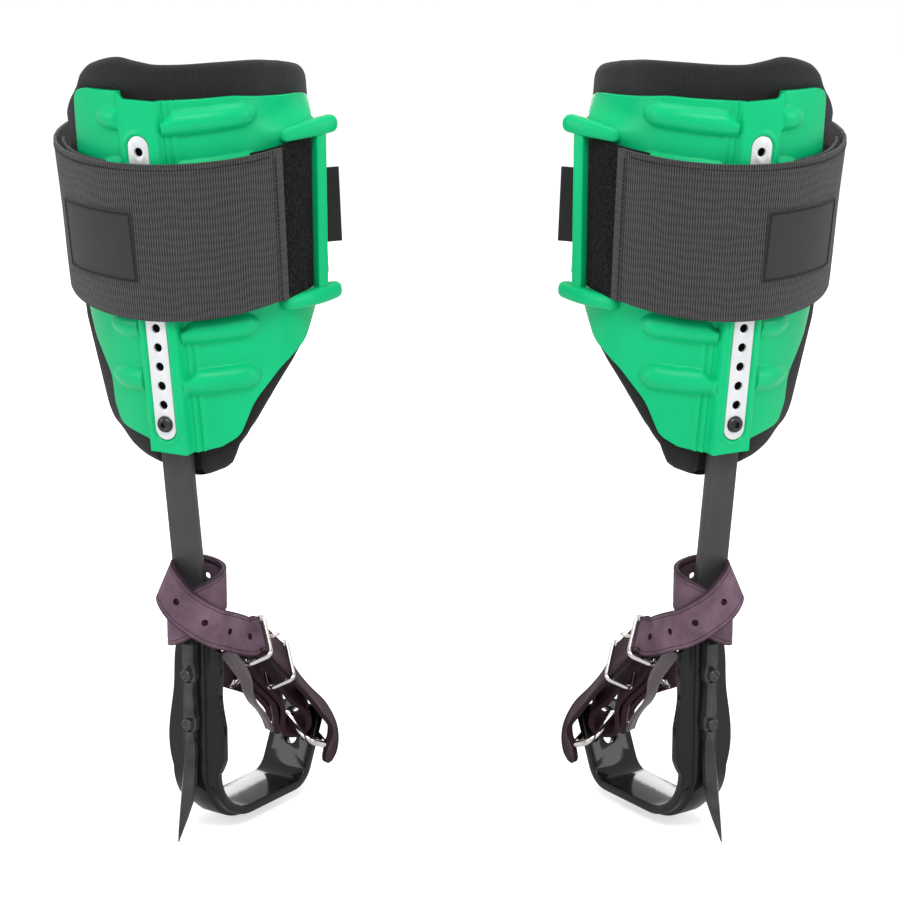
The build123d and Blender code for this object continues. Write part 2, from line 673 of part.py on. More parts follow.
with BuildPart() as strap_tag:
    with BuildSketch(Plane.XY.offset(TAG_FOOT)):
        with Locations(TAG_POINT):
            Rectangle(TAG_WIDTH, PATCH, align=(Align.MIN, Align.CENTER))
    extrude(amount=TAG_HEIGHT)
save_pair(strap_tag, "strap_tag", CUFF)


# Ankle strap
def slanted_turn(radius, level, slope):
    """One turn of leather round the shank, cut from a tube between two parallel slanted planes."""
    tilt = degrees(atan(slope))
    slab_plane = Plane(Location(LOOP_CENTRE + (level,), (0, -tilt, 0)))
    with BuildPart() as turn:
        with BuildSketch(Plane.XY.offset(level - 45)):
            with Locations(LOOP_CENTRE):
                Circle(radius + LEATHER)
                Circle(radius, mode=Mode.SUBTRACT)
        extrude(amount=90)
        with BuildSketch(slab_plane.offset(-LEATHER_WIDTH / 2)):
            Rectangle(200, 200)
        extrude(amount=LEATHER_WIDTH, mode=Mode.INTERSECT)
    return turn.part


with BuildPart() as ankle_wrap:
    add(slanted_turn(WRAP_RADIUS, WRAP_LEVEL, WRAP_SLOPE))
save_pair(ankle_wrap, "ankle_wrap", FOOT)

BILLET_X = LOOP_CENTRE[0] + BILLET_RADIUS
BILLET_EXIT_Z = BILLET_LEVEL + BILLET_SLOPE * (BILLET_RADIUS + LEATHER / 2)
TWIST_AT = (BILLET_X + LEATHER / 2, BILLET_TWIST_Y, BILLET_TWIST_Z)
BILLET_TWIST = Plane(TWIST_AT, x_dir=(-1, 0, 0), z_dir=(0, 1, 0))
with BuildPart() as ankle_billet:
    add(slanted_turn(BILLET_RADIUS, BILLET_LEVEL, BILLET_SLOPE))
    with BuildSketch(Plane.YZ.offset(BILLET_X)) as billet_run:
        with BuildLine():
            rise = LEATHER_WIDTH / 2
            Polyline(
                (LOOP_CENTRE[1], BILLET_EXIT_Z - rise),
                (LOOP_CENTRE[1], BILLET_EXIT_Z + rise),
                (BILLET_TWIST_Y, BILLET_TWIST_Z + rise),
                (BILLET_TWIST_Y, BILLET_TWIST_Z - rise),
                close=True,
            )
        make_face()
    extrude(amount=LEATHER)
    with BuildSketch(Plane.YZ.offset(BILLET_X - 5)) as billet_holes:
        with Locations(BILLET_HOLE):
            Circle(BILLET_HOLE_SIZE / 2)
    extrude(amount=12, mode=Mode.SUBTRACT)
    # Quarter twist that lays the billet flat for the buckle
    with BuildSketch(BILLET_TWIST):
        Rectangle(LEATHER, LEATHER_WIDTH)
    with BuildSketch(Plane(Vector(*BUCKLE_POINT) + run * (TAIL_START - 0.1), x_dir=-lift, z_dir=run)):
        Rectangle(LEATHER, LEATHER_WIDTH)
    loft(ruled=True)
save_pair(ankle_billet, "ankle_billet", FOOT)

with BuildPart() as ankle_tail:
    with BuildSketch(STRAP_SIDE):
        with BuildLine():
            FilletPolyline((TAIL_START, 0), (TAIL_BEND, 0), TAIL_END, radius=50)
        trace(line_width=LEATHER)
    extrude(amount=LEATHER_WIDTH / 2, both=True)
    with BuildSketch(Plane(STRAP_SIDE.origin, x_dir=run, z_dir=lift)) as tongue_slot:
        with Locations((5, 0)):
            SlotOverall(10, TONGUE_WIRE + 1)
    extrude(amount=5, both=True, mode=Mode.SUBTRACT)
save_pair(ankle_tail, "ankle_tail", FOOT)

# Ring axes: along the ring, and out through the leaning upright
lean = radians(UPRIGHT_LEAN)
ring_origin = UPRIGHT_FACE.from_local_coords(Vector(RING_HOLE_X, RING_HOLE_Z * slant, 0))
ring_along = UPRIGHT_FACE.x_dir * cos(radians(RING_TILT)) - UPRIGHT_FACE.y_dir * sin(radians(RING_TILT))
ring_out = -UPRIGHT_FACE.z_dir
RING_PLANE = Plane(ring_origin, x_dir=ring_along, z_dir=ring_along.cross(ring_out))
inner_wire = ring_origin + ring_along * (RING_LENGTH / 2) + ring_out * RING_INSIDE
turn_at = STRAP_SIDE.to_local_coords(inner_wire)

# Folded layers: two strands that turn back round the stirrup ring
with BuildPart() as ankle_folds:
    with BuildSketch(STRAP_SIDE):
        with BuildLine():
            upper = turn_at.Y + TURN_RADIUS
            lower = turn_at.Y - TURN_RADIUS
            end = turn_at.X - 0.3 + TURN_RADIUS
            FilletPolyline(
                (FOLD_START, FOLD_LIFTS[0]),
                (FOLD_PARTING, FOLD_LIFTS[0]),
                (end - 20, upper),
                (end, upper),
                (end, lower),
                (end - 16, lower),
                (FOLD_PARTING, FOLD_LIFTS[1]),
                (FOLD_START, FOLD_LIFTS[1]),
                radius=(60, 30, TURN_RADIUS, TURN_RADIUS, 20, 40),
            )
        trace(line_width=LEATHER)
    extrude(amount=FOLD_WIDTH / 2, both=True)
save_pair(ankle_folds, "ankle_folds", FOOT)

with BuildPart() as ankle_tab:
    with BuildSketch(STRAP_SIDE.offset(TAB_INNER)):
        with BuildLine():
            Polyline(*TAB_OUTLINE, close=True)
        make_face()
    extrude(amount=TAB_THICKNESS)
save_pair(ankle_tab, "ankle_tab", FOOT)

LINER_Y = LOOP_CENTRE[1] + WRAP_RADIUS + 1.5 * LEATHER
with BuildPart() as ankle_liner:
    with BuildSketch(Plane.YZ):
        with BuildLine():
            FilletPolyline((LINER_Y, LINER_TOP), (LINER_Y, sum(LINER_END) - LINER_Y), LINER_END, radius=14)
        trace(line_width=LEATHER)
    extrude(amount=LINER_WIDTH / 2, both=True)
    with BuildSketch(Plane(EYELET_POINT, x_dir=(1, 0, 0), z_dir=(0, 1, 1))):
        Circle(EYELET_SIZE / 2)
    extrude(amount=8, both=True, mode=Mode.SUBTRACT)
save_pair(ankle_liner, "ankle_liner", FOOT)

with BuildPart() as eyelet:
    eyelet_plane = Plane(EYELET_POINT, x_dir=(1, 0, 0), z_dir=(0, -1, -1))
    with BuildSketch(eyelet_plane):
        Circle(EYELET_SIZE / 2)
        Circle(EYELET_SIZE / 2 - 1.2, mode=Mode.SUBTRACT)
    extrude(amount=LEATHER, both=True)
save_pair(eyelet, "eyelet", FOOT)


def wire_loop(plane, inner_width, inner_low, inner_high, wire):
    """Rectangular loop of wire with cut corners, in a plane square to the strap."""
    half = inner_width / 2 + wire / 2
    low = inner_low - wire / 2
    high = inner_high + wire / 2
    cut = 0.8 * wire
    with BuildPart() as loop:
        with BuildLine(plane):
            Polyline(
                (0, high), (half - cut, high), (half, high - cut), (half, low + cut), (half - cut, low),
                (cut - half, low), (-half, low + cut), (-half, high - cut), (cut - half, high), (0, high),
            )
        with BuildSketch(Plane(plane.location * Location((0, high, 0), (0, 90, 0)))):
            RegularPolygon(wire / 2, 8)
        sweep(transition=Transition.RIGHT)
    return loop.part


with BuildPart() as buckle_frame:
    add(wire_loop(strap_cross(0), BUCKLE_INNER, LOOP_LOW, LEATHER / 2 + 0.4, BUCKLE_WIRE))
save_pair(buckle_frame, "buckle_frame", FOOT)

with BuildPart() as strap_keeper:
    add(wire_loop(strap_cross(KEEPER_ALONG), KEEPER_INNER, LOOP_LOW - 1, LEATHER / 2 + 0.6, KEEPER_WIRE))
save_pair(strap_keeper, "strap_keeper", FOOT)

with BuildPart() as buckle_tongue:
    hinge_level = LOOP_LOW - BUCKLE_WIRE / 2
    reach = BUCKLE_WIRE / 2 + 0.3
    with BuildSketch(STRAP_SIDE):
        with Locations((0, hinge_level)):
            Circle(reach + 1.8)
        with BuildLine():
            Polyline(
                (reach, hinge_level),
                (reach + TONGUE_WIRE, hinge_level),
                (reach + TONGUE_WIRE, 6),
                (reach + 1.5, 11),
                (reach + 0.6, 11),
                (reach, 6),
                close=True,
            )
        make_face()
        with Locations((0, hinge_level)):
            Circle(reach, mode=Mode.SUBTRACT)
    extrude(amount=TONGUE_WIRE / 2, both=True)
save_pair(buckle_tongue, "buckle_tongue", FOOT)

with BuildPart() as stirrup_ring:
    bend = 4.0
    with BuildLine(RING_PLANE):
        Polyline(
            (RING_LENGTH / 2, RING_OUTSIDE),
            (RING_LENGTH - bend, RING_OUTSIDE),
            (RING_LENGTH, RING_OUTSIDE - bend),
            (RING_LENGTH, RING_INSIDE + bend),
            (RING_LENGTH - bend, RING_INSIDE),
            (bend, RING_INSIDE),
            (0, RING_INSIDE + bend),
            (0, RING_OUTSIDE - bend),
            (bend, RING_OUTSIDE),
            (RING_LENGTH / 2, RING_OUTSIDE),
        )
    with BuildSketch(Plane(RING_PLANE.location * Location((RING_LENGTH / 2, RING_OUTSIDE, 0), (0, 90, 0)))):
        RegularPolygon(RING_WIRE / 2, 8)
    sweep(transition=Transition.RIGHT)
save_pair(stirrup_ring, "stirrup_ring", FOOT)
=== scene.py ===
import json
from bisect import bisect_right
from math import asin, cos, degrees, exp, hypot, pi, radians, sin, sqrt

import bmesh
import bpy
from mathutils import Matrix, Vector

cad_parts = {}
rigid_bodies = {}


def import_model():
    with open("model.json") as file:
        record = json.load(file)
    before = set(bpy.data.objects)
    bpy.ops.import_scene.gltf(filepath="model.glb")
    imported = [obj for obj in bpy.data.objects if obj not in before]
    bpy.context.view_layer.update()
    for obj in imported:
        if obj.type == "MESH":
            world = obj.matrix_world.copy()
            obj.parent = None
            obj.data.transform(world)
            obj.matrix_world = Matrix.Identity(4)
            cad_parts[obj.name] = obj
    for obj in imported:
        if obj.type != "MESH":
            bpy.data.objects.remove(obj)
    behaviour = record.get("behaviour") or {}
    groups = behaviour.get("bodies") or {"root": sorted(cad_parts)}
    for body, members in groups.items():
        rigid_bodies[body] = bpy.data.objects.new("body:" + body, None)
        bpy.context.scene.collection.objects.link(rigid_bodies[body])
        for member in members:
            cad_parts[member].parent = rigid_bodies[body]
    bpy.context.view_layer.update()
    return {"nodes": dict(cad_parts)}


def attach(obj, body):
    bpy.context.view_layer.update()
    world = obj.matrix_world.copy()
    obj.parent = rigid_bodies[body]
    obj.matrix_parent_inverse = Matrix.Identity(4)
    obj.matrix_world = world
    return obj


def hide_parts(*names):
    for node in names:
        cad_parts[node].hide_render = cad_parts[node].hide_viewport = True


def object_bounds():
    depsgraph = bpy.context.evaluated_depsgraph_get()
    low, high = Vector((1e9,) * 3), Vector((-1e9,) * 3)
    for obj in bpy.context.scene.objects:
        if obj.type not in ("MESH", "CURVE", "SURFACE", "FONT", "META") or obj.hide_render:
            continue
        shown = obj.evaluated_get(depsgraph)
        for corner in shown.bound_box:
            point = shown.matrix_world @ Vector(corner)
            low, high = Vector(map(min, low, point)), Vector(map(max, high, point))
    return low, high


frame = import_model()

SIDES = ("left", "right")
UP = Vector((0, 0, 1))

# Frames of the left spike, in mm. The right spike is the mirror image across the middle of the stance.
STANCE = 259.0
STIRRUP_YAW = 35
CUFF_ORIGIN = (-30.2, 17.7, 388.6)
CUFF_LEAN = 5.1
SHANK_PIVOT = Vector((-22.6, -62, -125))
SHANK_TILT = 0.9
SHANK_YAW = 24

TO_METRES = Matrix.Scale(0.001, 4)
ACROSS_THE_PAIR = Matrix.Translation((STANCE / 1000, 0, 0)) @ Matrix.Scale(-1, 4, (1, 0, 0))
FOOT = Matrix.Rotation(radians(-STIRRUP_YAW), 4, "Z")
CUFF = Matrix.Translation(CUFF_ORIGIN) @ Matrix.Rotation(radians(-CUFF_LEAN), 4, "Y")
SHANK_IN_CUFF = (
    Matrix.Translation(SHANK_PIVOT)
    @ Matrix.Rotation(radians(SHANK_TILT), 4, "Y")
    @ Matrix.Rotation(radians(-SHANK_YAW), 4, "Z")
    @ Matrix.Translation((0, 0, -SHANK_PIVOT.z))
)
CUFF_TO_SHANK = SHANK_IN_CUFF.inverted()
SHANK = CUFF @ SHANK_IN_CUFF


def axes(x_axis, y_axis, z_axis, origin):
    """Frame with the given axes and origin."""
    turn = Matrix((x_axis, y_axis, z_axis)).transposed().to_4x4()
    return Matrix.Translation(origin) @ turn


# Ankle strap: x along the strap, y away from the boot, z across the strap
RUN = Vector((0, 0.715, -0.699)).normalized()
LIFT = Vector((0.62, -0.50, -0.60)).cross(RUN).normalized()
ACROSS = RUN.cross(LIFT)
BUCKLE_POINT = Vector((24, -17, 113))
ANKLE = FOOT @ axes(RUN, LIFT, ACROSS, BUCKLE_POINT)

# Stirrup ring: x along the ring, y out through the leaning upright
UPRIGHT_LEAN = radians(24)
UPRIGHT_FOOT = 34
HALF_STEEL = 3
RING_HOLE_X = -2
RING_HOLE_HEIGHT = 34.5
RING_DROOP = radians(30)
UPRIGHT_UP = Vector((0, sin(UPRIGHT_LEAN), cos(UPRIGHT_LEAN)))
RING_OUT = Vector((0, cos(UPRIGHT_LEAN), -sin(UPRIGHT_LEAN)))
RING_ALONG = Vector((1, 0, 0)) * cos(RING_DROOP) - UPRIGHT_UP * sin(RING_DROOP)
MIDDLE_OF_STEEL = UPRIGHT_FOOT + HALF_STEEL * sin(UPRIGHT_LEAN) / cos(UPRIGHT_LEAN)
RING_POINT = Vector((RING_HOLE_X, MIDDLE_OF_STEEL, 0)) + UPRIGHT_UP * RING_HOLE_HEIGHT / cos(UPRIGHT_LEAN)
RING = FOOT @ axes(RING_ALONG, RING_OUT, RING_ALONG.cross(RING_OUT), RING_POINT)


def mix(a, b, share):
    """Value at a share of the way from a to b."""
    return a + (b - a) * share


def ramp(value, start, end):
    """Smooth step from 0 at start to 1 at end."""
    share = min(1, max(0, (value - start) / (end - start)))
    return share * share * (3 - 2 * share)


def ridge(value, middle, half):
    """Soft round ridge, 1 at its middle."""
    return exp(-((value - middle) / half) ** 2)


def outward(turn):
    """Way out from the calf at an angle in radians, measured from the front."""
    return Vector((sin(turn), -cos(turn), 0))


def last_below(below, low, high, rounds):
    """Largest value between low and high for which below holds, found by halving."""
    for _ in range(rounds):
        middle = (low + high) / 2
        if below(middle):
            low = middle
        else:
            high = middle
    return low


# Meshes

MERGE = 1e-4
SHARP_EDGE = radians(35)


def smooth(bm):
    """Smooth shading on every face."""
    for face in bm.faces:
        face.smooth = True


def bent_sheet(columns, rows, shape, cloth_size=(1, 1)):
    """Flat grid laid on a shape.

    shape(u, v) gives a point in mm, and cloth_size is the sheet's own flat size in mm.
    """
    bm = bmesh.new()
    bmesh.ops.create_grid(bm, x_segments=columns, y_segments=rows, size=0.5)
    weave = bm.loops.layers.uv.new("weave")
    for face in bm.faces:
        for corner in face.loops:
            at = corner.vert.co
            corner[weave].uv = ((at.x + 0.5) * cloth_size[0], (at.y + 0.5) * cloth_size[1])
    for vert in bm.verts:
        vert.co = shape(vert.co.x + 0.5, vert.co.y + 0.5)
    smooth(bm)
    bmesh.ops.remove_doubles(bm, verts=bm.verts, dist=MERGE)
    return bm


def turned(profile, steps=40):
    """Solid turned round the z axis from a profile of (radius, height) points."""
    bm = bmesh.new()
    verts = [bm.verts.new((radius, 0, height)) for radius, height in profile]
    edges = [bm.edges.new(pair) for pair in zip(verts, verts[1:])]
    bmesh.ops.spin(
        bm, geom=verts + edges, cent=(0, 0, 0), axis=(0, 0, 1), angle=2 * pi, steps=steps, use_merge=True
    )
    bmesh.ops.remove_doubles(bm, verts=bm.verts, dist=MERGE)
    bmesh.ops.recalc_face_normals(bm, faces=bm.faces)
    smooth(bm)
    return bm


def ease(bm, width, segments):
    """Round the sharp edges of a solid."""
    sharp = [e for e in bm.edges if len(e.link_faces) == 2 and e.calc_face_angle() > SHARP_EDGE]
    bmesh.ops.bevel(
        bm, geom=sharp, offset=width, offset_type="OFFSET", segments=segments, profile=0.5,
        affect="EDGES", material=-1, clamp_overlap=False,
    )
    smooth(bm)


def crisp(bm, angle=38):
    """Mark edges that stay sharp in the shading."""
    for edge in bm.edges:
        if len(edge.link_faces) == 2 and edge.calc_face_angle() > radians(angle):
            edge.smooth = False


def close_ends(bm):
    """Fill the open ends of a shape."""
    bmesh.ops.holes_fill(bm, edges=[e for e in bm.edges if e.is_boundary], sides=0)


def mesh_object(bm, name):
    """New object from a bmesh, linked to the scene."""
    mesh = bpy.data.meshes.new(name)
    bm.to_mesh(mesh)
    piece = bpy.data.objects.new(name, mesh)
    bpy.context.scene.collection.objects.link(piece)
    return piece


def finished(piece):
    """The object's shape with its modifiers applied, as a bmesh. The object is removed."""
    bpy.context.view_layer.update()
    mesh = bpy.data.meshes.new_from_object(piece.evaluated_get(bpy.context.evaluated_depsgraph_get()))
    result = bmesh.new()
    result.from_mesh(mesh)
    bpy.data.batch_remove((piece, piece.data, mesh))
    return result


def cut_out(bm, cutter):
    """The first solid less the second, as a new bmesh."""
    body = mesh_object(bm, "cut_body")
    tool = mesh_object(cutter, "cut_tool")
    cut = body.modifiers.new("cut", "BOOLEAN")
    cut.operation = "DIFFERENCE"
    cut.solver = "EXACT"
    cut.object = tool
    result = finished(body)
    bpy.data.batch_remove((tool, tool.data))
    return result


def thick(bm, wall):
    """A sheet given its thickness, half to each side."""
    sheet = mesh_object(bm, "thin_sheet")
    solid = sheet.modifiers.new("wall", "SOLIDIFY")
    solid.thickness = wall
    solid.offset = 0
    return finished(sheet)


def tube(points, radius, cyclic=False, around=10):
    """Round wire along points, as a bmesh."""
    line = bpy.data.curves.new("wire", "CURVE")
    line.dimensions = "3D"
    line.bevel_depth = radius
    line.bevel_resolution = around // 2
    line.use_fill_caps = True
    run = line.splines.new("POLY")
    run.points.add(len(points) - 1)
    for spot, point in zip(run.points, points):
        spot.co = (*point, 1)
    run.use_cyclic_u = cyclic
    wire = bpy.data.objects.new("wire", line)
    bpy.context.scene.collection.objects.link(wire)
    result = finished(wire)
    bmesh.ops.remove_doubles(result, verts=result.verts, dist=MERGE)
    bmesh.ops.recalc_face_normals(result, faces=result.faces)
    smooth(result)
    return result


def joined(*parts):
    """Several bmeshes as one."""
    result = bmesh.new()
    for part in parts:
        mesh = bpy.data.meshes.new("part")
        part.to_mesh(mesh)
        result.from_mesh(mesh)
        bpy.data.meshes.remove(mesh)
    return result


def peg(where, radius, length, sides=24):
    """Peg along the z axis of a place, to cut a hole with."""
    bm = bmesh.new()
    bmesh.ops.create_cone(
        bm, cap_ends=True, segments=sides, radius1=radius, radius2=radius, depth=length, matrix=where
    )
    return bm


def facing_front(fastener, x, y, heights):
    """Copies of a fastener at several heights, with their heads to the front."""
    copies = []
    for height in heights:
        seat = axes(Vector((1, 0, 0)), UP, Vector((0, -1, 0)), Vector((x, y, height)))
        one = fastener.copy()
        bmesh.ops.transform(one, matrix=seat, verts=one.verts)
        copies.append(one)
    return joined(*copies)


def rounded_outline(corners, radii, steps=8):
    """Closed outline with rounded corners: its points, and where each corner's middle falls in them."""
    points = []
    marks = []
    count = len(corners)
    for i, radius in enumerate(radii):
        corner = Vector(corners[i])
        before = Vector(corners[i - 1]) - corner
        after = Vector(corners[(i + 1) % count]) - corner
        half_angle = before.angle(after) / 2
        reach = radius / max(0.05, sin(half_angle)) * cos(half_angle)
        start = corner + before.normalized() * min(reach, 0.48 * before.length)
        end = corner + after.normalized() * min(reach, 0.48 * after.length)
        marks.append(len(points) + steps // 2)
        for k in range(steps + 1):
            share = k / steps
            points.append(mix(mix(start, corner, share), mix(corner, end, share), share))
    return points, marks


def distances(points):
    """Distance along a run to each of its points."""
    far = [0.0]
    for a, b in zip(points, points[1:]):
        far.append(far[-1] + (b - a).length)
    return far


def span_at(far, share):
    """The span that holds a share of a run's length, and the share of that span before it."""
    goal = min(1, max(0, share)) * far[-1]
    i = min(len(far) - 2, bisect_right(far, goal) - 1)
    gap = far[i + 1] - far[i]
    return i, (goal - far[i]) / gap if gap else 0


def even_run(points):
    """Point at a share of the length of a run of points."""
    far = distances(points)

    def at(share):
        i, into = span_at(far, share)
        return mix(points[i], points[i + 1], into)

    return at


def spline_point(points, station):
    """Point on a smooth curve through points, at a station counted in points."""
    i = min(len(points) - 2, int(station))
    t = station - i
    a = points[max(0, i - 1)]
    b = points[i]
    c = points[i + 1]
    d = points[min(len(points) - 1, i + 2)]
    linear = (c - a) * t
    square = (2 * a - 5 * b + 4 * c - d) * t * t
    cubic = (3 * b - a - 3 * c + d) * t ** 3
    return 0.5 * ((2 * b) + linear + square + cubic)


STEPS_PER_STATION = 12
LOOK_AHEAD = 0.004


def strap_run(stations):
    """Smooth run through a strap's stations, each a point and the way its outer face looks.

    At a share of its length it gives the point and the ways out, across and along.
    """
    points = [Vector(point) for point, _ in stations]
    faces = [Vector(face).normalized() for _, face in stations]
    steps = [k / STEPS_PER_STATION for k in range((len(points) - 1) * STEPS_PER_STATION)]
    line = [spline_point(points, step) for step in steps] + [points[-1]]
    looks = [spline_point(faces, step).normalized() for step in steps] + [faces[-1]]
    far = distances(line)
    point_at = even_run(line)

    def at(share):
        i, into = span_at(far, share)
        look = mix(looks[i], looks[i + 1], into).normalized()
        ahead = (point_at(share + LOOK_AHEAD) - point_at(share - LOOK_AHEAD)).normalized()
        across = ahead.cross(look).normalized()
        return point_at(share), across.cross(ahead), across, ahead

    at.length = far[-1]
    return at


CREASE_INSET = 2.7
CREASE_DEPTH = 0.5
CREASE_HALF = 0.45
TIP_FULLNESS = 2.4
LEATHER_ROW = 1.3


def leather_strip(run, width, thickness, tip=0.0, columns=44, crease=True):
    """Leather strap along a run, with a crease line along each edge and, with tip, a rounded end."""

    def shape(u, v):
        middle, look, across, _ = run(v)
        half = width / 2
        if tip:
            past = max(0, v * run.length - (run.length - tip)) / tip
            half *= sqrt(max(0.0004, 1 - past ** TIP_FULLNESS))
        side = (2 * u - 1) * half
        dent = 0.0
        if crease:
            dent = -CREASE_DEPTH * ridge(half - abs(side), CREASE_INSET, CREASE_HALF)
        return middle + across * side + look * dent

    rows = int(run.length / LEATHER_ROW)
    return thick(bent_sheet(columns, rows, shape, (width, run.length)), thickness)


def strap_pegs(run, shares, radius, length, lift=0.0):
    """Pegs square to a strap, to cut its holes with."""
    pegs = []
    for share in shares:
        middle, look, across, ahead = run(share)
        pegs.append(peg(axes(ahead, across * -1, look, middle + look * lift), radius, length))
    return joined(*pegs)


def stitch_row(spots, size):
    """Row of thread stitches. Each spot is a point, the way of the thread and the way it stands proud."""
    bm = bmesh.new()
    for point, ahead, look in spots:
        side = look.cross(ahead).normalized()
        turn = axes(ahead * size[0], side * size[1], look * size[2], point)
        bmesh.ops.create_cube(bm, size=1, matrix=turn)
    return bm


# Finishes

SPECULAR = "Specular IOR Level"


def new_finish(name, colour, roughness, metallic=0.0):
    """Material with its main values set on the shader."""
    finish = bpy.data.materials.new(name)
    finish.use_nodes = True
    shader = finish.node_tree.nodes["Principled BSDF"]
    shader.inputs["Base Color"].default_value = (*colour, 1)
    shader.inputs["Roughness"].default_value = roughness
    shader.inputs["Metallic"].default_value = metallic
    return finish, finish.node_tree, shader


def node(tree, kind, settings=(), **inputs):
    """New shader node with its settings and inputs. An input called i0, i1 and so on goes by number."""
    made = tree.nodes.new(kind)
    for key, value in dict(settings).items():
        setattr(made, key, value)
    for key, value in inputs.items():
        socket = made.inputs[int(key[1:])] if key[0] == "i" and key[1:].isdigit() else made.inputs[key]
        if hasattr(value, "is_output"):
            tree.links.new(value, socket)
        else:
            socket.default_value = value
    return made


def object_place(tree):
    """Object coordinates."""
    return node(tree, "ShaderNodeTexCoord").outputs["Object"]


def cloth_place(tree):
    """The cloth's own flat map, in mm."""
    return node(tree, "ShaderNodeUVMap", {"uv_map": "weave"}).outputs["UV"]


def speckle(tree, spot, scale, detail=4.0):
    """Noise from 0 to 1."""
    noise = node(tree, "ShaderNodeTexNoise", Vector=spot, Scale=scale, Detail=detail, Roughness=0.55)
    return noise.outputs["Fac"]


def cells(tree, spot, scale):
    """Distance from the middle of small cells."""
    return node(tree, "ShaderNodeTexVoronoi", Vector=spot, Scale=scale).outputs["Distance"]


def maths(tree, kind, a, b=0.0):
    """Math node on one or two values."""
    return node(tree, "ShaderNodeMath", {"operation": kind}, i0=a, i1=b).outputs[0]


def weighed(tree, a, weight_a, b, weight_b):
    """Sum of two values, each with its weight."""
    return maths(tree, "ADD", maths(tree, "MULTIPLY", a, weight_a), maths(tree, "MULTIPLY", b, weight_b))


def spread(tree, value, low, high, start=0.0, end=1.0):
    """Value between low and high as another goes from start to end."""
    return node(tree, "ShaderNodeMapRange", i0=value, i1=start, i2=end, i3=low, i4=high).outputs[0]


def tint(tree, shader, share, dark, light, start=0.3, end=0.7):
    """Base colour between a dark and a light tone."""
    tones = node(tree, "ShaderNodeValToRGB", Fac=share)
    for stop, position, tone in zip(tones.color_ramp.elements, (start, end), (dark, light)):
        stop.position = position
        stop.color = (*tone, 1)
    tree.links.new(tones.outputs["Color"], shader.inputs["Base Color"])


def gloss(tree, shader, share, low, high):
    """Roughness between two values."""
    tree.links.new(spread(tree, share, low, high), shader.inputs["Roughness"])


def relief(tree, shader, height, strength, distance):
    """Bump from a height, in metres of distance."""
    bump = node(tree, "ShaderNodeBump", Height=height, Strength=strength, Distance=distance)
    tree.links.new(bump.outputs["Normal"], shader.inputs["Normal"])


def mottled(name, colour, roughness, tones, cloud, shine, wear, grain=None, specular=0.5, metallic=0.0):
    """Hard finish with a cloudy tone between two tones, an uneven shine and, with grain, a fine relief.

    cloud and wear are the scales of the tone and of the shine, which is a lowest and a highest roughness.
    grain is the relief's scale, detail, strength and depth in metres.
    """
    finish, tree, shader = new_finish(name, colour, roughness, metallic)
    spot = object_place(tree)
    tint(tree, shader, speckle(tree, spot, cloud), *tones)
    gloss(tree, shader, speckle(tree, spot, wear), *shine)
    if grain:
        scale, detail, strength, depth = grain
        relief(tree, shader, speckle(tree, spot, scale, detail), strength, depth)
    shader.inputs[SPECULAR].default_value = specular
    return finish


def green_plastic():
    """Moulded plastic of the shell, horns and bar."""
    tones = ((0.002, 0.53, 0.195), (0.004, 0.59, 0.225))
    return mottled(
        "green_plastic", (0.003, 0.56, 0.21), 0.34, tones, cloud=18, shine=(0.28, 0.38), wear=60,
        grain=(900, 2, 0.12, 0.0004), specular=0.17,
    )


def black_steel():
    """Glossy black paint of the stirrup."""
    tones = ((0.006, 0.006, 0.007), (0.011, 0.011, 0.012))
    return mottled(
        "black_steel", (0.008, 0.008, 0.009), 0.1, tones, cloud=40, shine=(0.06, 0.14), wear=25,
        grain=(160, 2, 0.06, 0.0005), specular=0.24,
    )


def satin_steel():
    """Satin black coat of the shank."""
    tones = ((0.044, 0.044, 0.045), (0.058, 0.058, 0.059))
    return mottled(
        "satin_black_steel", (0.05, 0.05, 0.051), 0.42, tones, cloud=40, shine=(0.36, 0.5), wear=60,
        grain=(700, 2, 0.08, 0.0004), specular=0.3,
    )


def forged_steel():
    """Forged, blackened steel of the gaff and its bolts."""
    tones = ((0.010, 0.010, 0.011), (0.044, 0.043, 0.042))
    return mottled(
        "forged_black_steel", (0.04, 0.04, 0.041), 0.33, tones, cloud=90, shine=(0.22, 0.42), wear=90,
        grain=(420, 4, 0.16, 0.0006),
    )


def strip_metal():
    """Pale satin metal of the adjuster strip and the plate behind it."""
    tones = ((0.74, 0.75, 0.77), (0.84, 0.85, 0.87))
    return mottled(
        "satin_strip", (0.80, 0.81, 0.83), 0.38, tones, cloud=30, shine=(0.32, 0.46), wear=150,
        grain=(1200, 2, 0.06, 0.0003), metallic=0.25,
    )


def black_screw():
    """Black oxide of the cuff's screws."""
    tones = ((0.025, 0.025, 0.027), (0.07, 0.07, 0.072))
    return mottled(
        "black_oxide", (0.035, 0.035, 0.037), 0.30, tones, cloud=200, shine=(0.22, 0.40), wear=300,
        metallic=0.85,
    )


def nickel():
    """Nickel plate of the buckle, keeper, tongue, ring and eyelet."""
    tones = ((0.54, 0.51, 0.50), (0.70, 0.67, 0.65))
    return mottled(
        "nickel_plate", (0.62, 0.59, 0.57), 0.14, tones, cloud=120, shine=(0.08, 0.22), wear=240,
        metallic=1.0,
    )


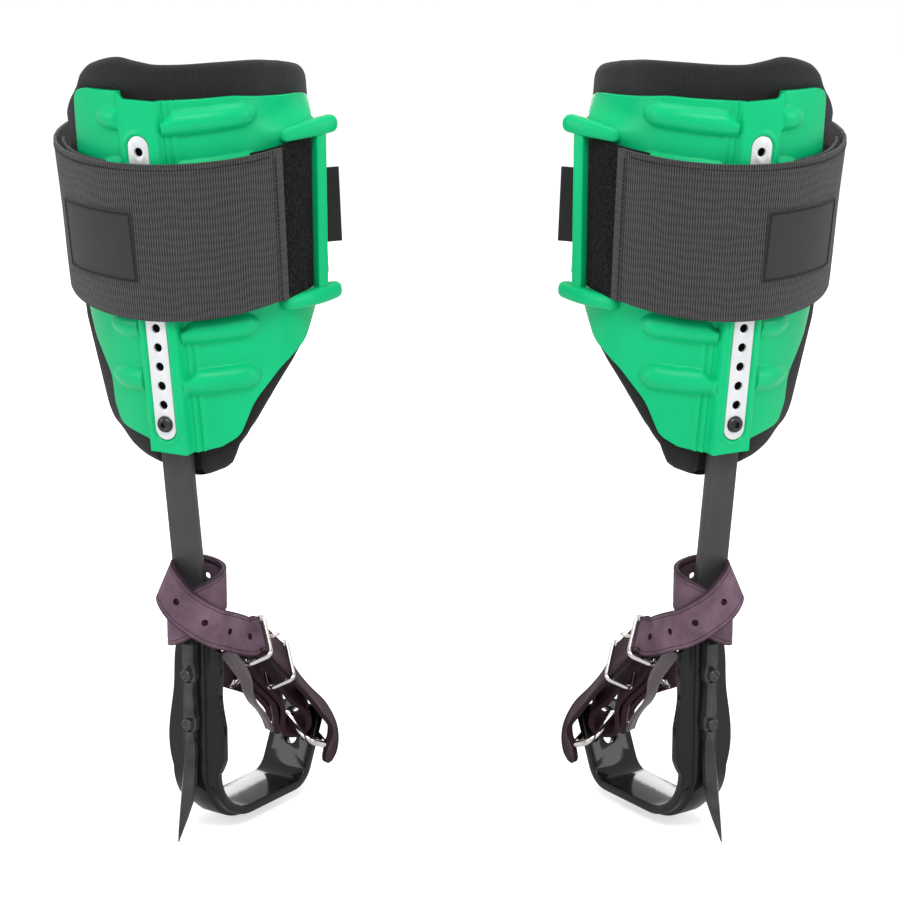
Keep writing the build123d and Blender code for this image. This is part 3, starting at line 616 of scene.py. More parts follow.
def woven(name, dark, light, rib, pick, depth, roughness, sway=0.0):
    """Ribbed cloth: ribs and the rows that break them, at pitches in mm. With sway, the rows wander."""
    finish, tree, shader = new_finish(name, light, roughness)
    flat = node(tree, "ShaderNodeSeparateXYZ", Vector=cloth_place(tree))
    drift = maths(tree, "MULTIPLY", speckle(tree, cloth_place(tree), 0.045, 1), sway)
    ribs = maths(tree, "SINE", maths(tree, "MULTIPLY", flat.outputs[0], 2 * pi / rib))
    row = maths(tree, "FLOOR", maths(tree, "DIVIDE", flat.outputs[0], rib))
    shift = maths(tree, "MULTIPLY", row, 0.0 if sway else pi)
    level = maths(tree, "ADD", flat.outputs[1], drift)
    turns = maths(tree, "MULTIPLY", level, 2 * pi / pick)
    picks = maths(tree, "SINE", maths(tree, "ADD", turns, shift))
    rib_share = 0.84 if sway else 0.5
    knots = weighed(tree, ribs, rib_share, picks, 1 - rib_share)
    fibres = speckle(tree, cloth_place(tree), 2.2, 3)
    height = weighed(tree, knots, 0.5, fibres, 0.35)
    share = maths(tree, "ADD", maths(tree, "MULTIPLY", height, 0.6), 0.4)
    tint(tree, shader, share, dark, light, 0.2, 0.9)
    relief(tree, shader, height, 0.55, depth)
    shader.inputs[SPECULAR].default_value = 0.25
    shader.inputs["Sheen Weight"].default_value = 0.12
    shader.inputs["Sheen Roughness"].default_value = 0.5
    return finish


def thread(name, dark, light):
    """Fine sewing thread."""
    return woven(name, dark, light, rib=0.3, pick=0.3, depth=0.0002, roughness=0.8)


def pile_cloth(name, dark, light):
    """Looped pile: coarse tufts over fine fibres."""
    finish, tree, shader = new_finish(name, dark, 1.0)
    spot = object_place(tree)
    height = weighed(tree, cells(tree, spot, 620), 0.6, speckle(tree, spot, 900, 3), 0.6)
    tint(tree, shader, height, dark, light, 0.45, 0.9)
    relief(tree, shader, height, 0.9, 0.0012)
    shader.inputs[SPECULAR].default_value = 0.05
    shader.inputs["Sheen Weight"].default_value = 0.03
    shader.inputs["Sheen Roughness"].default_value = 0.6
    return finish


# Painted shade on the strap's tail: the length over which it comes in, and the share of the colour it
# leaves
PAINTED_SHADE_RAMP = 50
PAINTED_SHADE_SHARE = 0.36


def leather(name, dark, light, width=None, dull=0.0, painted_shade_from=None):
    """Smooth leather with a fine grain, cloudy colour and a worn sheen.

    With width, it has a dark crease along each edge and burnished edges. Past a given distance along the
    strap, the colour is darkened with painted shade, which stands in for the shade on the strap's tail.
    """
    finish, tree, shader = new_finish(name, light, 0.45)
    spot = object_place(tree)
    cloud = speckle(tree, spot, 45, 5)
    if width:
        across = node(tree, "ShaderNodeSeparateXYZ", Vector=cloth_place(tree)).outputs[0]
        from_middle = maths(tree, "ABSOLUTE", maths(tree, "SUBTRACT", across, width / 2))
        from_crease = maths(tree, "SUBTRACT", from_middle, width / 2 - CREASE_INSET)
        beside_crease = spread(tree, maths(tree, "ABSOLUTE", from_crease), 0.0, 1.0, 0.3, 0.8)
        cloud = maths(tree, "MULTIPLY", cloud, beside_crease)
        from_edge = maths(tree, "SUBTRACT", width / 2, from_middle)
        cloud = maths(tree, "MULTIPLY", cloud, spread(tree, from_edge, 0.35, 1.0, 0.1, 1.5))
    # Painted shade: past the given distance along the strap, the colour darkens towards the tail
    if painted_shade_from:
        along = node(tree, "ShaderNodeSeparateXYZ", Vector=cloth_place(tree)).outputs[1]
        painted_shade = spread(tree, along, 1.0, PAINTED_SHADE_SHARE, painted_shade_from, painted_shade_from + PAINTED_SHADE_RAMP)
        cloud = maths(tree, "MULTIPLY", cloud, painted_shade)
    tint(tree, shader, cloud, dark, light, 0.1, 0.75)
    gloss(tree, shader, speckle(tree, spot, 140), 0.28 + dull, 0.44 + dull)
    shader.inputs[SPECULAR].default_value = 0.5 - dull
    height = weighed(tree, cells(tree, spot, 1100), 0.7, speckle(tree, spot, 2400, 3), 0.5)
    relief(tree, shader, height, 0.55, 0.0005)
    return finish


STRAP_WIDTH = 25.0
FINISHES = {
    "green_plastic": green_plastic(),
    "black_steel": black_steel(),
    "satin_steel": satin_steel(),
    "forged_steel": forged_steel(),
    "strip_metal": strip_metal(),
    "black_screw": black_screw(),
    "nickel": nickel(),
    "pad_knit": woven(
        "pad_knit", (0.003, 0.003, 0.003), (0.036, 0.036, 0.037),
        rib=1.5, pick=2.0, depth=0.0006, roughness=0.9,
    ),
    "elastic": woven(
        "ribbed_elastic", (0.002, 0.002, 0.002), (0.112, 0.112, 0.114),
        rib=1.6, pick=5.4, depth=0.0009, roughness=0.75, sway=9,
    ),
    "patch": woven(
        "smooth_patch", (0.020, 0.020, 0.021), (0.048, 0.048, 0.049),
        rib=0.9, pick=0.9, depth=0.0002, roughness=0.7,
    ),
    "pile_tape": pile_cloth("pile_tape", (0.0015, 0.0015, 0.0015), (0.024, 0.024, 0.024)),
    "hook_tape": pile_cloth("hook_tape", (0.004, 0.004, 0.004), (0.02, 0.02, 0.02)),
    "leather": leather("plum_leather", (0.026, 0.013, 0.019), (0.220, 0.132, 0.182), STRAP_WIDTH, dull=0.3),
    # The buckled strap's tail is darkened with painted shade from 100 mm along
    "strap_leather": leather(
        "plum_strap_leather", (0.028, 0.014, 0.020), (0.250, 0.156, 0.212),
        STRAP_WIDTH, dull=0.4, painted_shade_from=100.0,
    ),
    "dark_leather": leather("dark_plum_leather", (0.026, 0.010, 0.015), (0.060, 0.026, 0.037), dull=0.3),
    "stitched_leather": leather("grey_plum_leather", (0.120, 0.092, 0.112), (0.180, 0.145, 0.168)),
    "black_thread": thread("black_thread", (0.004, 0.004, 0.004), (0.016, 0.016, 0.016)),
    "grey_thread": thread("grey_thread", (0.20, 0.18, 0.19), (0.34, 0.31, 0.33)),
}


def place(bm, name, where, body, finish, nodes=(), wall=None, edge=None, even=True):
    """Put a left-hand piece and its mirror image on the pair."""
    pair = []
    for side in SIDES:
        piece = mesh_object(bm, f"{side}_{name}")
        piece.data.transform(TO_METRES @ where)
        if side == "right":
            piece.data.transform(ACROSS_THE_PAIR)
            piece.data.flip_normals()
        dress(piece, finish, wall, edge, even)
        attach(piece, f"{side}_{body}")
        if nodes:
            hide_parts(*[f"{side}_{n}" for n in nodes])
        pair.append(piece)
    return pair


def dress(piece, finish, wall=None, edge=None, even=True):
    """Finish of a piece, with its wall (thickness in mm and offset) and the rounding of its edges in mm."""
    piece.data.materials.clear()
    piece.data.materials.append(FINISHES[finish])
    if wall:
        solid = piece.modifiers.new("wall", "SOLIDIFY")
        solid.thickness = wall[0] / 1000
        solid.offset = wall[1]
        solid.use_even_offset = even
    if edge:
        bevel = piece.modifiers.new("edge", "BEVEL")
        bevel.width = edge / 1000
        bevel.segments = 2
        bevel.limit_method = "ANGLE"
        bevel.angle_limit = radians(50)


def eased_copy(node_name, name, body, finish, width, segments):
    """The CAD solid's own shape with its edges rounded."""
    for side in SIDES:
        bm = bmesh.new()
        bm.from_mesh(frame["nodes"][f"{side}_{node_name}"].data)
        bmesh.ops.remove_doubles(bm, verts=bm.verts, dist=1e-6)
        bmesh.ops.dissolve_limit(bm, angle_limit=radians(0.6), verts=bm.verts, edges=bm.edges)
        ease(bm, width / 1000, segments)
        crisp(bm, 42)
        piece = mesh_object(bm, f"{side}_{name}")
        dress(piece, finish)
        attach(piece, f"{side}_{body}")
        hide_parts(f"{side}_{node_name}")


# Moulded cuff shell

SHELL_RADIUS = 72.0
SHELL_WALL = 3.4
SHELL_TAPER = 0.02
SHELL_OUTLINE = (
    (-63.5, 83.5), (-33.5, 82.3), (-30.8, 77.8), (-8, 75.4), (36, 73), (76, 63.6), (78.4, 53), (79.6, 42),
    (73, 26), (72, -66), (62, -89), (45, -101.5), (28.5, -118), (18, -138), (6, -143.8), (-9, -146),
    (-36.5, -142.6), (-40, -137.6), (-57.5, -131), (-60.8, -118), (-60.8, -100), (-69.5, -77), (-73, -58),
    (-66, 45),
)
SHELL_ROUNDING = (10, 3, 2, 8, 60, 8, 10, 10, 20, 30, 16, 40, 40, 14, 8, 5, 5, 3, 8, 14, 24, 24, 30, 60)
TOP_RIGHT, FOOT_RIGHT, FOOT_LEFT = 5, 13, 18
# Ribs: centre x, level, length, height and how far they stand proud
SHELL_RIBS = (
    (19.5, 61, 56, 15.5, 5.6), (-40.5, 68, 18, 15, 5.2), (20, 30, 56, 15, 3.4), (-42, 36, 18, 15, 3.2),
    (18, -3, 54, 15, 3.4), (-43, 3, 18, 15, 3.2), (16, -36, 50, 15, 3.4), (-45, -30, 19, 15, 3.2),
    (13, -69, 47, 15.5, 5.6), (-46, -63, 20, 15, 4.8), (11, -101, 46, 17, 6.0), (-48, -96.5, 22, 16, 5.2),
)
# Raised channel: middle at the top and foot in the front view, and its walls and folds beside the strip
CHANNEL_TOP_X = -24.3
CHANNEL_FOOT_X = -27.6
CHANNEL_HALF = 18.0
CHANNEL_LEFT = (-14.4, -11.8)
CHANNEL_RIGHT = (17.2, 12.2)
CHANNEL_FOLDS = ((18.6, 1.5), (24.2, 1.4))
FOLD_HALF = 1.9
# Seat of the adjuster strip, with a raised lip round it
STRIP_FRONT = 11.5
STRIP_HALF = 7.0
STRIP_FOOT = -135.5
STRIP_TOP = 55.3
STRIP_CLEAR = 0.4
STRIP_SINK = 2.1
SLOT_INSET = 1.6
LIP_WIDTH = 3.9
LIP_HEIGHT = 1.0
# Grid columns to the left of the channel, in it and to its right
COLUMNS = (44, 66, 92)
SHELL_ROWS = 215

outline, marks = rounded_outline(SHELL_OUTLINE, SHELL_ROUNDING)
shell_top = even_run(outline[marks[0]:marks[TOP_RIGHT] + 1])
shell_right = even_run(outline[marks[TOP_RIGHT]:marks[FOOT_RIGHT] + 1][::-1])
shell_bottom = even_run(outline[marks[FOOT_RIGHT]:marks[FOOT_LEFT] + 1][::-1])
shell_left = even_run(outline[marks[FOOT_LEFT]:] + outline[:marks[0] + 1])


def channel_breaks(run, middle_x):
    """Shares along a run from left to right at which the channel starts and ends, between 0 and 1."""
    sides = (middle_x - CHANNEL_HALF, middle_x + CHANNEL_HALF)
    return (0.0, *[last_below(lambda share: run(share).x < x, 0.0, 1.0, 30) for x in sides], 1.0)


top_breaks = channel_breaks(shell_top, CHANNEL_TOP_X)
foot_breaks = channel_breaks(shell_bottom, CHANNEL_FOOT_X)
column_breaks = (0.0, COLUMNS[0] / sum(COLUMNS), (COLUMNS[0] + COLUMNS[1]) / sum(COLUMNS), 1.0)


def shell_plan(u, v):
    """Place on the shell's front view, with the columns of the grid running along the channel."""
    k = 0 if u < column_breaks[1] else 1 if u < column_breaks[2] else 2
    s = (u - column_breaks[k]) / (column_breaks[k + 1] - column_breaks[k])
    near_low = shell_bottom(foot_breaks[k])
    far_low = shell_bottom(foot_breaks[k + 1])
    near_high = shell_top(top_breaks[k])
    far_high = shell_top(top_breaks[k + 1])
    low = shell_bottom(mix(foot_breaks[k], foot_breaks[k + 1], s))
    high = shell_top(mix(top_breaks[k], top_breaks[k + 1], s))
    near = shell_left(v) if k == 0 else mix(near_low, near_high, v)
    far = shell_right(v) if k == 2 else mix(far_low, far_high, v)
    corners = mix(mix(near_low, far_low, s), mix(near_high, far_high, s), v)
    return mix(low, high, v) + mix(near, far, s) - corners


def rib_rise(x, z):
    """Height of the domed ribs, which start at the channel and end in round noses towards the sides."""
    rise = 0.0
    for centre, level, length, height, proud in SHELL_RIBS:
        to_side = 1 if centre > 0 else -1
        along = (x - centre) * to_side + length / 2
        if not 0 < along < length:
            continue
        if centre > 0:
            half = height / 2
            up = half * mix(0.25, 1, ramp(along, 0, 9))
            nose = 1.35 * half
            crest = level
        else:
            half = height * 0.55
            up = half * 0.8
            nose = 0.62 * length
            crest = level - 1.5
        past = max(0, along - length + nose) / nose
        off = hypot(past, (z - crest) / up if z > crest else (crest - z) / half)
        if off < 1:
            rise = max(rise, proud * (1 - off ** 2.2) ** 0.7)
    return rise


def shell_spread(turn, z):
    """How far the shell's sides flare out past its round, low on the left and into the upper horn."""
    left = 2.8 * ramp(degrees(turn), -50, -84) * ramp(z, 0, -55)
    flare = 7.5 * ramp(degrees(turn), 50, 86) * ramp(z, 18, 44) * mix(1, 0.5, ramp(z, 46, 64))
    return left + flare + 3.6 * ramp(degrees(turn), 36, 58) * ridge(z, 46, 6.5)


def shell_turn(x, z, radius):
    """Angle round the calf at which the flared shell reaches x."""
    if abs(x) < 50:
        return asin(x / radius)
    side = radians(89)
    return last_below(lambda turn: (radius + shell_spread(turn, z)) * sin(turn) < x, -side, side, 16)


def strip_gap(beside, height):
    """Distance outside the adjuster strip's edge."""
    past_end = max(0, height - (STRIP_TOP - STRIP_HALF), STRIP_FOOT + STRIP_HALF - height)
    return hypot(beside, past_end) - STRIP_HALF


def shell_shape(u, v):
    """Point of the shell's outer face."""
    plan = shell_plan(u, v)
    x, z = plan.x, plan.y
    radius = SHELL_RADIUS + SHELL_TAPER * z
    turn = shell_turn(x, z, radius)
    out = outward(turn)
    way = CUFF_TO_SHANK.to_3x3() @ out
    root = CUFF_TO_SHANK @ Vector((0, 0, z))
    face_radius = (-STRIP_FRONT - root.y) / way.y
    beside = root.x + face_radius * way.x
    in_channel = ramp(beside, *(CHANNEL_LEFT if beside < 0 else CHANNEL_RIGHT))
    folds = sum(ridge(beside, middle, FOLD_HALF) * proud for middle, proud in CHANNEL_FOLDS)
    rise = max(rib_rise(x, z), folds)
    radius = mix(radius + shell_spread(turn, z) + rise, face_radius, in_channel)
    gap = strip_gap(beside, root.z)
    if gap < STRIP_CLEAR:
        radius -= STRIP_SINK
    elif gap < LIP_WIDTH:
        radius += LIP_HEIGHT * sin(pi * (gap - STRIP_CLEAR) / (LIP_WIDTH - STRIP_CLEAR)) ** 0.6
    return out * radius + Vector((0, 0, z))


shell = bent_sheet(sum(COLUMNS), SHELL_ROWS, shell_shape)
slot_faces = []
for face in shell.faces:
    spot = CUFF_TO_SHANK @ face.calc_center_median()
    if strip_gap(spot.x, spot.z) < -SLOT_INSET:
        slot_faces.append(face)
bmesh.ops.delete(shell, geom=slot_faces, context="FACES")
place(shell, "moulded_shell", CUFF, "cuff", "green_plastic", ["cuff_shell"], (SHELL_WALL, -1), even=False)

# Horns and the bar between them

TIP_CAP = 6.0
ROOT_CAP = 4.5
HORN_DEPTH = 0.92
# Horns: name, root, bend, tip, half height at the root and at the tip
HORNS = (
    ("upper_horn", (59, -44.8, 42.4), (78, -32, 43.4), (93.4, -19, 43.8), 4.3, 5.6),
    ("lower_horn", (51, -51.4, -61), (72, -36.5, -62.6), (84.6, -13, -62.2), 4.2, 5.3),
)


def horn_shape(root, bend, tip, root_half, tip_half):
    """Finger that grows out of the shell's side, bends round the calf and swells to a round tip."""
    length = ((bend - root).length + (tip - bend).length + (tip - root).length) / 2

    def shape(u, v):
        share = 0.5 - 0.5 * cos(pi * v)
        near = mix(root, bend, share)
        far = mix(bend, tip, share)
        side = (far - near).cross(UP).normalized()
        along = length * share
        cap = min(1.0, along / ROOT_CAP, (length - along) / TIP_CAP)
        half = mix(root_half, tip_half, ramp(along, 0, 0.7 * length)) * sqrt(max(0.0, 1 - (1 - cap) ** 2))
        turn = 2 * pi * u
        square = (abs(cos(turn)) ** 3 + abs(sin(turn)) ** 3) ** (-1 / 3)
        return mix(near, far, share) + (side * cos(turn) * HORN_DEPTH + UP * sin(turn)) * half * square

    return shape


for horn_name, horn_root, horn_bend, horn_tip, *halves in HORNS:
    horn = bent_sheet(32, 48, horn_shape(Vector(horn_root), Vector(horn_bend), Vector(horn_tip), *halves))
    bmesh.ops.recalc_face_normals(horn, faces=horn.faces)
    place(horn, horn_name, CUFF, "cuff", "green_plastic")

BAR_TOP = Vector((82.9, -27.2, 42))
BAR_FOOT = Vector((74.2, -27.4, -61))
BAR_SIZE = 7.1
BAR_EDGE = 0.9
BAR_TURN = radians(35)
bar_up = BAR_TOP - BAR_FOOT
bar_along = Vector((cos(BAR_TURN), sin(BAR_TURN), 0))
bar = bmesh.new()
bmesh.ops.create_cube(bar, size=1, matrix=Matrix.Diagonal((BAR_SIZE, BAR_SIZE, bar_up.length, 1)))
ease(bar, BAR_EDGE, 3)
crisp(bar)
bar_frame = axes(bar_along, UP.cross(bar_along), bar_up.normalized(), (BAR_TOP + BAR_FOOT) / 2)
place(bar, "side_bar", CUFF @ bar_frame, "cuff", "green_plastic", ["strap_bar"])

# Adjuster strip and its screws

eased_copy("adjuster_strip", "hole_strip", "cuff", "strip_metal", 0.35, 2)
eased_copy("clamp_plate", "inner_clamp", "cuff", "strip_metal", 0.4, 2)

SCREW_HEIGHTS = (-125.5, -15.7)
SCREW_PROFILE = (
    (0, 2.9), (3.2, 2.75), (4.3, 2.2), (5.0, 1.2), (5.3, 0.3), (5.3, 0), (2.5, 0), (2.5, -18), (0, -18),
)
screw = cut_out(turned(SCREW_PROFILE), peg(Matrix.Translation((0, 0, 3.0)), 2.0, 4, sides=6))
crisp(screw)
screws = facing_front(screw, 0, -STRIP_FRONT, SCREW_HEIGHTS)
place(screws, "button_screws", SHANK, "cuff", "black_screw", ["cuff_screws"])

# Calf pad

PAD_REACH = 98.0
PAD_THICK = 12.4
PAD_MIDDLE = 60.3
PAD_EDGE = 6.2
PAD_CORNER = 20.0
PAD_CORNER_FROM = 84
PAD_GROOVE = 7.6
PAD_GRID = (110, 120)
PAD_CLOTH = (360, 260)
GRID_TRIM = 0.04
# Height of the pad's edges at angles round the calf
PAD_TOP = (
    (-98, 62), (-82, 68), (-74, 76), (-64, 85), (-57, 91), (-45, 98.5), (-29, 102.5), (-19, 100), (-9, 97),
    (5, 95.5), (25, 94), (47, 91), (68, 86), (80, 82), (98, 76),
)
PAD_FOOT = (
    (-98, -124), (-83, -140), (-67, -144), (-57, -149), (-46, -153.5), (-30, -158.5), (-12, -164.5),
    (5, -161), (11, -157), (15, -147.5), (23, -138), (37, -121.5), (48, -110), (60, -100.5), (77, -89.5),
    (98, -82),
)


def level_at(table, turn):
    """Height of the pad's edge at an angle round the calf."""
    points = [Vector(p) for p in table]
    i = max(0, min(len(points) - 2, bisect_right([p.x for p in points], turn) - 1))
    share = (turn - points[i].x) / (points[i + 1].x - points[i].x)
    return spline_point(points, i + min(1, max(0, share))).y


def pad_spread(turn, z):
    """How far the pad bulges out past the shell's sides and over its top."""
    high_left = 5.5 * ramp(turn, -58, -84) * ramp(z, -10, 30)
    low_left = (11.5 - 0.1 * max(0, -70 - z)) * ramp(turn, -74, -92) * ramp(z, 20, -40)
    right = mix(0, 8.6, ramp(z, -40, 50)) * ramp(turn, 55, 92)
    flare = 6.5 * ramp(z, 76, 100) * ramp(abs(turn), 90, 60)
    return high_left + low_left + right + flare


def closer_at_edges(share):
    """Share of the way across, with the grid closer towards both edges."""
    eased = 0.5 - 0.5 * cos(pi * mix(GRID_TRIM, 1 - GRID_TRIM, share))
    return (eased - 0.5) / cos(GRID_TRIM * pi) + 0.5


def pad_face(side):
    """Outer or inner face of the pad, with a groove for the shank in the outer one."""

    def shape(u, v):
        across = closer_at_edges(u)
        upward = closer_at_edges(v)
        turn = mix(-PAD_REACH, PAD_REACH, across)
        corner = max(0, (abs(turn) - PAD_CORNER_FROM) / (PAD_REACH - PAD_CORNER_FROM))
        fall = PAD_CORNER * (1 - sqrt(max(0, 1 - corner * corner)))
        top = level_at(PAD_TOP, turn) - fall
        foot = level_at(PAD_FOOT, turn) + fall
        z = mix(foot, top, upward)
        from_edge = min(
            min(across, 1 - across) * radians(2 * PAD_REACH) * PAD_MIDDLE,
            min(upward, 1 - upward) * (top - foot),
        )
        share = min(1, from_edge / PAD_EDGE)
        half = PAD_THICK / 2 * sqrt(1 - (1 - share) ** 2)
        radius = PAD_MIDDLE + SHELL_TAPER * z + pad_spread(turn, z) + side * half
        out = outward(radians(turn))
        if side > 0:
            spot = CUFF_TO_SHANK @ (out * radius + UP * z)
            radius -= PAD_GROOVE * ramp(abs(spot.x), 15, 11.5) * ramp(spot.z, 72, 62)
        return out * radius + UP * z

    return shape


outer = bent_sheet(*PAD_GRID, pad_face(1), PAD_CLOTH)
inner = bent_sheet(*PAD_GRID, pad_face(-1), PAD_CLOTH)
bmesh.ops.reverse_faces(inner, faces=inner.faces)
pad = joined(outer, inner)
bmesh.ops.remove_doubles(pad, verts=pad.verts, dist=0.02)
for piece in place(pad, "knit_pad", CUFF, "cuff", "pad_knit", ["calf_pad"]):
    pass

# Calf strap: each layer at its own radius round the calf, between two angles in degrees

BAND = 2.2
INNER_RADIUS = 77.4
HOOKS_RADIUS = 80.2
FLAP_RADIUS = 82.4
HEM_RADIUS = 83.7
PATCH_RADIUS = 83.9
PATCH_START, PATCH_END = -66.5, -23.0
PANEL_END = 82
CLOTH_STEP = 1.6


def flap_top(x, y):
    """Height of the strap's upper edge."""
    return 44.9 - 0.041 * x + 0.085 * y


def flap_foot(x, y):
    """Height of the strap's lower edge."""
    return -42.3 + 0.207 * y


def flap_edges(inset):
    """Heights of the strap's lower and upper edges, each drawn in by an inset."""
    return lambda x, y: flap_foot(x, y) + inset, lambda x, y: flap_top(x, y) - inset


def patch_top(x, y):
    """Height of the patch's upper edge."""
    return 6.9 - 0.1 * x


def patch_foot(x, y):
    """Height of the patch's lower edge."""
    return -38.2 - 0.12 * x


def upright(x, z):
    """How far the strap's right side leans in towards its foot."""
    return -0.05 * (42 - z) * ramp(x, 45, 72)


def band_run(radius, start, end):
    """Stations of a strap round the calf, from one angle to another."""
    count = max(4, int((end - start) / 8))
    ways = [outward(radians(mix(start, end, k / count))) for k in range(count + 1)]
    return [(out * radius, out) for out in ways]


def webbing(stations, foot, top, ripple=0.0, lean=None, foot_span=(0, 1), top_span=(0, 1)):
    """Web of cloth along stations, standing on its edge between two heights, with its own flat size."""
    run = strap_run(stations)
    half_way = run(0.5)[0]
    size = (run.length, top(half_way.x, half_way.y) - foot(half_way.x, half_way.y))

    def shape(u, v):
        share = mix(mix(foot_span[0], top_span[0], v), mix(foot_span[1], top_span[1], v), u)
        middle, look, _, _ = run(share)
        z = mix(foot(middle.x, middle.y), top(middle.x, middle.y), v)
        wave = ripple * sin(9 * u + 2.2 * v) * cos(5 * v + 3 * u)
        shift = lean(middle.x, z) if lean else 0.0
        return Vector((middle.x + shift, middle.y, z)) + look * wave

    return bent_sheet(max(4, int(run.length / CLOTH_STEP)), int(size[1] / CLOTH_STEP), shape, size), size


flap, flap_size = webbing(
    band_run(FLAP_RADIUS, -89.4, 46.2), flap_foot, flap_top, ripple=0.35, foot_span=(0, 0.966)
)
flap_pair = place(
    flap, "flap_web", CUFF, "flap", "elastic", ["strap_flap", "strap_hook_tape"], wall=(BAND, 0), edge=0.5
)
hem, _ = webbing(
    band_run(HEM_RADIUS, 36, 46.8), *flap_edges(-0.3), foot_span=(0.13, 0.57), top_span=(0.56, 1)
)
place(hem, "flap_hem", CUFF, "flap", "elastic", wall=(0.9, 0), edge=0.4)
hooks, _ = webbing(band_run(HOOKS_RADIUS, 33, 41), *flap_edges(4))
place(hooks, "flap_hooks", CUFF, "flap", "hook_tape", wall=(2.0, 0), edge=0.3)
patch, _ = webbing(band_run(PATCH_RADIUS, PATCH_START, PATCH_END), patch_foot, patch_top)
place(patch, "flap_patch", CUFF, "flap", "patch", ["strap_patch"], wall=(1.0, 0), edge=0.3)
lining, lining_size = webbing(band_run(INNER_RADIUS, -88, -37), *flap_edges(1), ripple=0.2)
lining_pair = place(
    lining, "strap_lining", CUFF, "cuff", "elastic", ["strap_inner"], wall=(BAND, 0), edge=0.5
)
panel, panel_size = webbing(
    band_run(INNER_RADIUS, 33, PANEL_END), lambda x, y: -57.5, lambda x, y: 37.5, ripple=0.15, lean=upright
)
panel_pair = place(
    panel, "pile_panel", CUFF, "cuff", "pile_tape", ["strap_panel"], wall=(BAND, 0), edge=0.5
)

# The back band runs from the fold on the left to just behind the pile panel's end
panel_turn = radians(PANEL_END)
back_stations = [
    ((-FLAP_RADIUS, 1.5, 0), (-1, 0, 0)), ((-81.8, 16, 0), (-1, 0.1, 0)), ((-75, 37, 0), (-0.9, 0.45, 0)),
    ((-58, 52.5, 0), (-0.5, 0.87, 0)), ((-34, 58, 0), (0, 1, 0)), ((0, 58, 0), (0, 1, 0)),
    ((36, 58, 0), (0, 1, 0)), ((58, 52, 0), (0.5, 0.87, 0)), ((74, 36, 0), (0.88, 0.45, 0)),
    ((81.6, 16, 0), (1, 0.1, 0)), ((81.4, 1, 0), (0.9, -0.4, 0)),
    ((INNER_RADIUS * sin(panel_turn) + 0.9, -INNER_RADIUS * cos(panel_turn) + 0.4, 0), (0.8, -0.6, 0)),
]
back, back_size = webbing(
    back_stations, lambda x, y: -49.5 - 0.094 * x, lambda x, y: flap_top(x, y) - 1 - 5 * ramp(x, 40, 80),
    ripple=0.3, lean=upright,
)
back_pair = place(back, "back_web", CUFF, "cuff", "elastic", ["strap_back"], wall=(BAND, 0), edge=0.5)


def fold_shape(u, v):
    """Round edge at which the strap folds back on itself."""
    turn = 2 * pi * u
    z = mix(flap_foot(-FLAP_RADIUS, 0), flap_top(-FLAP_RADIUS, 0), v)
    return Vector((-FLAP_RADIUS + BAND / 2 * cos(turn), BAND / 2 * sin(turn), z))


strap_fold = bent_sheet(18, 40, fold_shape, (BAND * pi, back_size[1]))
close_ends(strap_fold)
place(strap_fold, "strap_fold", CUFF, "cuff", "elastic")
tag, _ = webbing(
    [((82.5, 20, 0), (0, -1, 0)), ((88, 20.3, 0), (0, -1, 0)), ((92.2, 19.8, 0), (0, -1, 0))],
    lambda x, y: -40, lambda x, y: 8, lean=upright,
)
place(tag, "side_tag", CUFF, "cuff", "patch", ["strap_tag"], wall=(0.7, 0), edge=0.2)

stretched_cloth = (
    (flap_pair, flap_size), (back_pair, back_size), (lining_pair, lining_size), (panel_pair, panel_size),
)
for pair, cloth_size in stretched_cloth:
    for piece in pair:
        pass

# Stitches of the calf strap

PATCH_FACE = 84
PATCH_THREAD_RADIUS = 84.5
PATCH_PITCH = 2.4
PATCH_ZIGZAG = 0.25
PATCH_MARGINS = (0.03, 0.97)
PATCH_THREAD_TURNS = (PATCH_START + 1, PATCH_END - 1)
FLAP_FACE = 83
FLAP_SEAM_DROP = 3.6
FLAP_THREAD_RADIUS = 83.5
FLAP_THREAD_TURNS = (-88, 40)
FLAP_PITCH = 2.6
HEM_THREAD_RADIUS = 84.2
HEM_THREAD_LEAN = 0.06
HEM_STITCHES = 33
HEM_THREAD_FOOT, HEM_THREAD_TOP = -54, 32


def round_spot(radius, turn, z):
    """Point on a strap round the calf, with its ways along and out."""
    out = outward(radians(turn))
    return out * radius + UP * z, Vector((cos(radians(turn)), sin(radians(turn)), 0)), out


def level_stitches(radius, start, end, level, pitch, zigzag=0.0):
    """Stitches along a strap, at a height for each angle."""
    spots = []
    count = int(radians(end - start) * radius / pitch)
    for k in range(count):
        rise = zigzag if k % 2 else -zigzag
        turn = mix(start, end, (k + 0.5) / count)
        point, ahead, out = round_spot(radius, turn, level(turn))
        spots.append((point, (ahead + UP * rise).normalized(), out))
    return spots


def upright_stitches(radius, turn, foot, top, pitch, zigzag):
    """Stitches up a strap at one angle."""
    spots = []
    count = int((top - foot) / pitch)
    for k in range(count):
        lean = zigzag if k % 2 else -zigzag
        point, ahead, out = round_spot(radius, turn, mix(foot, top, (k + 0.5) / count))
        spots.append((point, (UP + ahead * lean).normalized(), out))
    return spots


def patch_level(turn, share):
    """Height on the patch at an angle, a share of the way up."""
    x = PATCH_FACE * sin(radians(turn))
    return mix(patch_foot(x, 0), patch_top(x, 0), share)


def flap_seam_level(turn):
    """Height of the seam a little below the strap's upper edge."""
    spot = outward(radians(turn)) * FLAP_FACE
    return flap_top(spot.x, spot.y) - FLAP_SEAM_DROP


def hem_turn(height):
    """Angle of the hem's slanting seam at a height."""
    return 38.8 + (height + 49) * 0.044


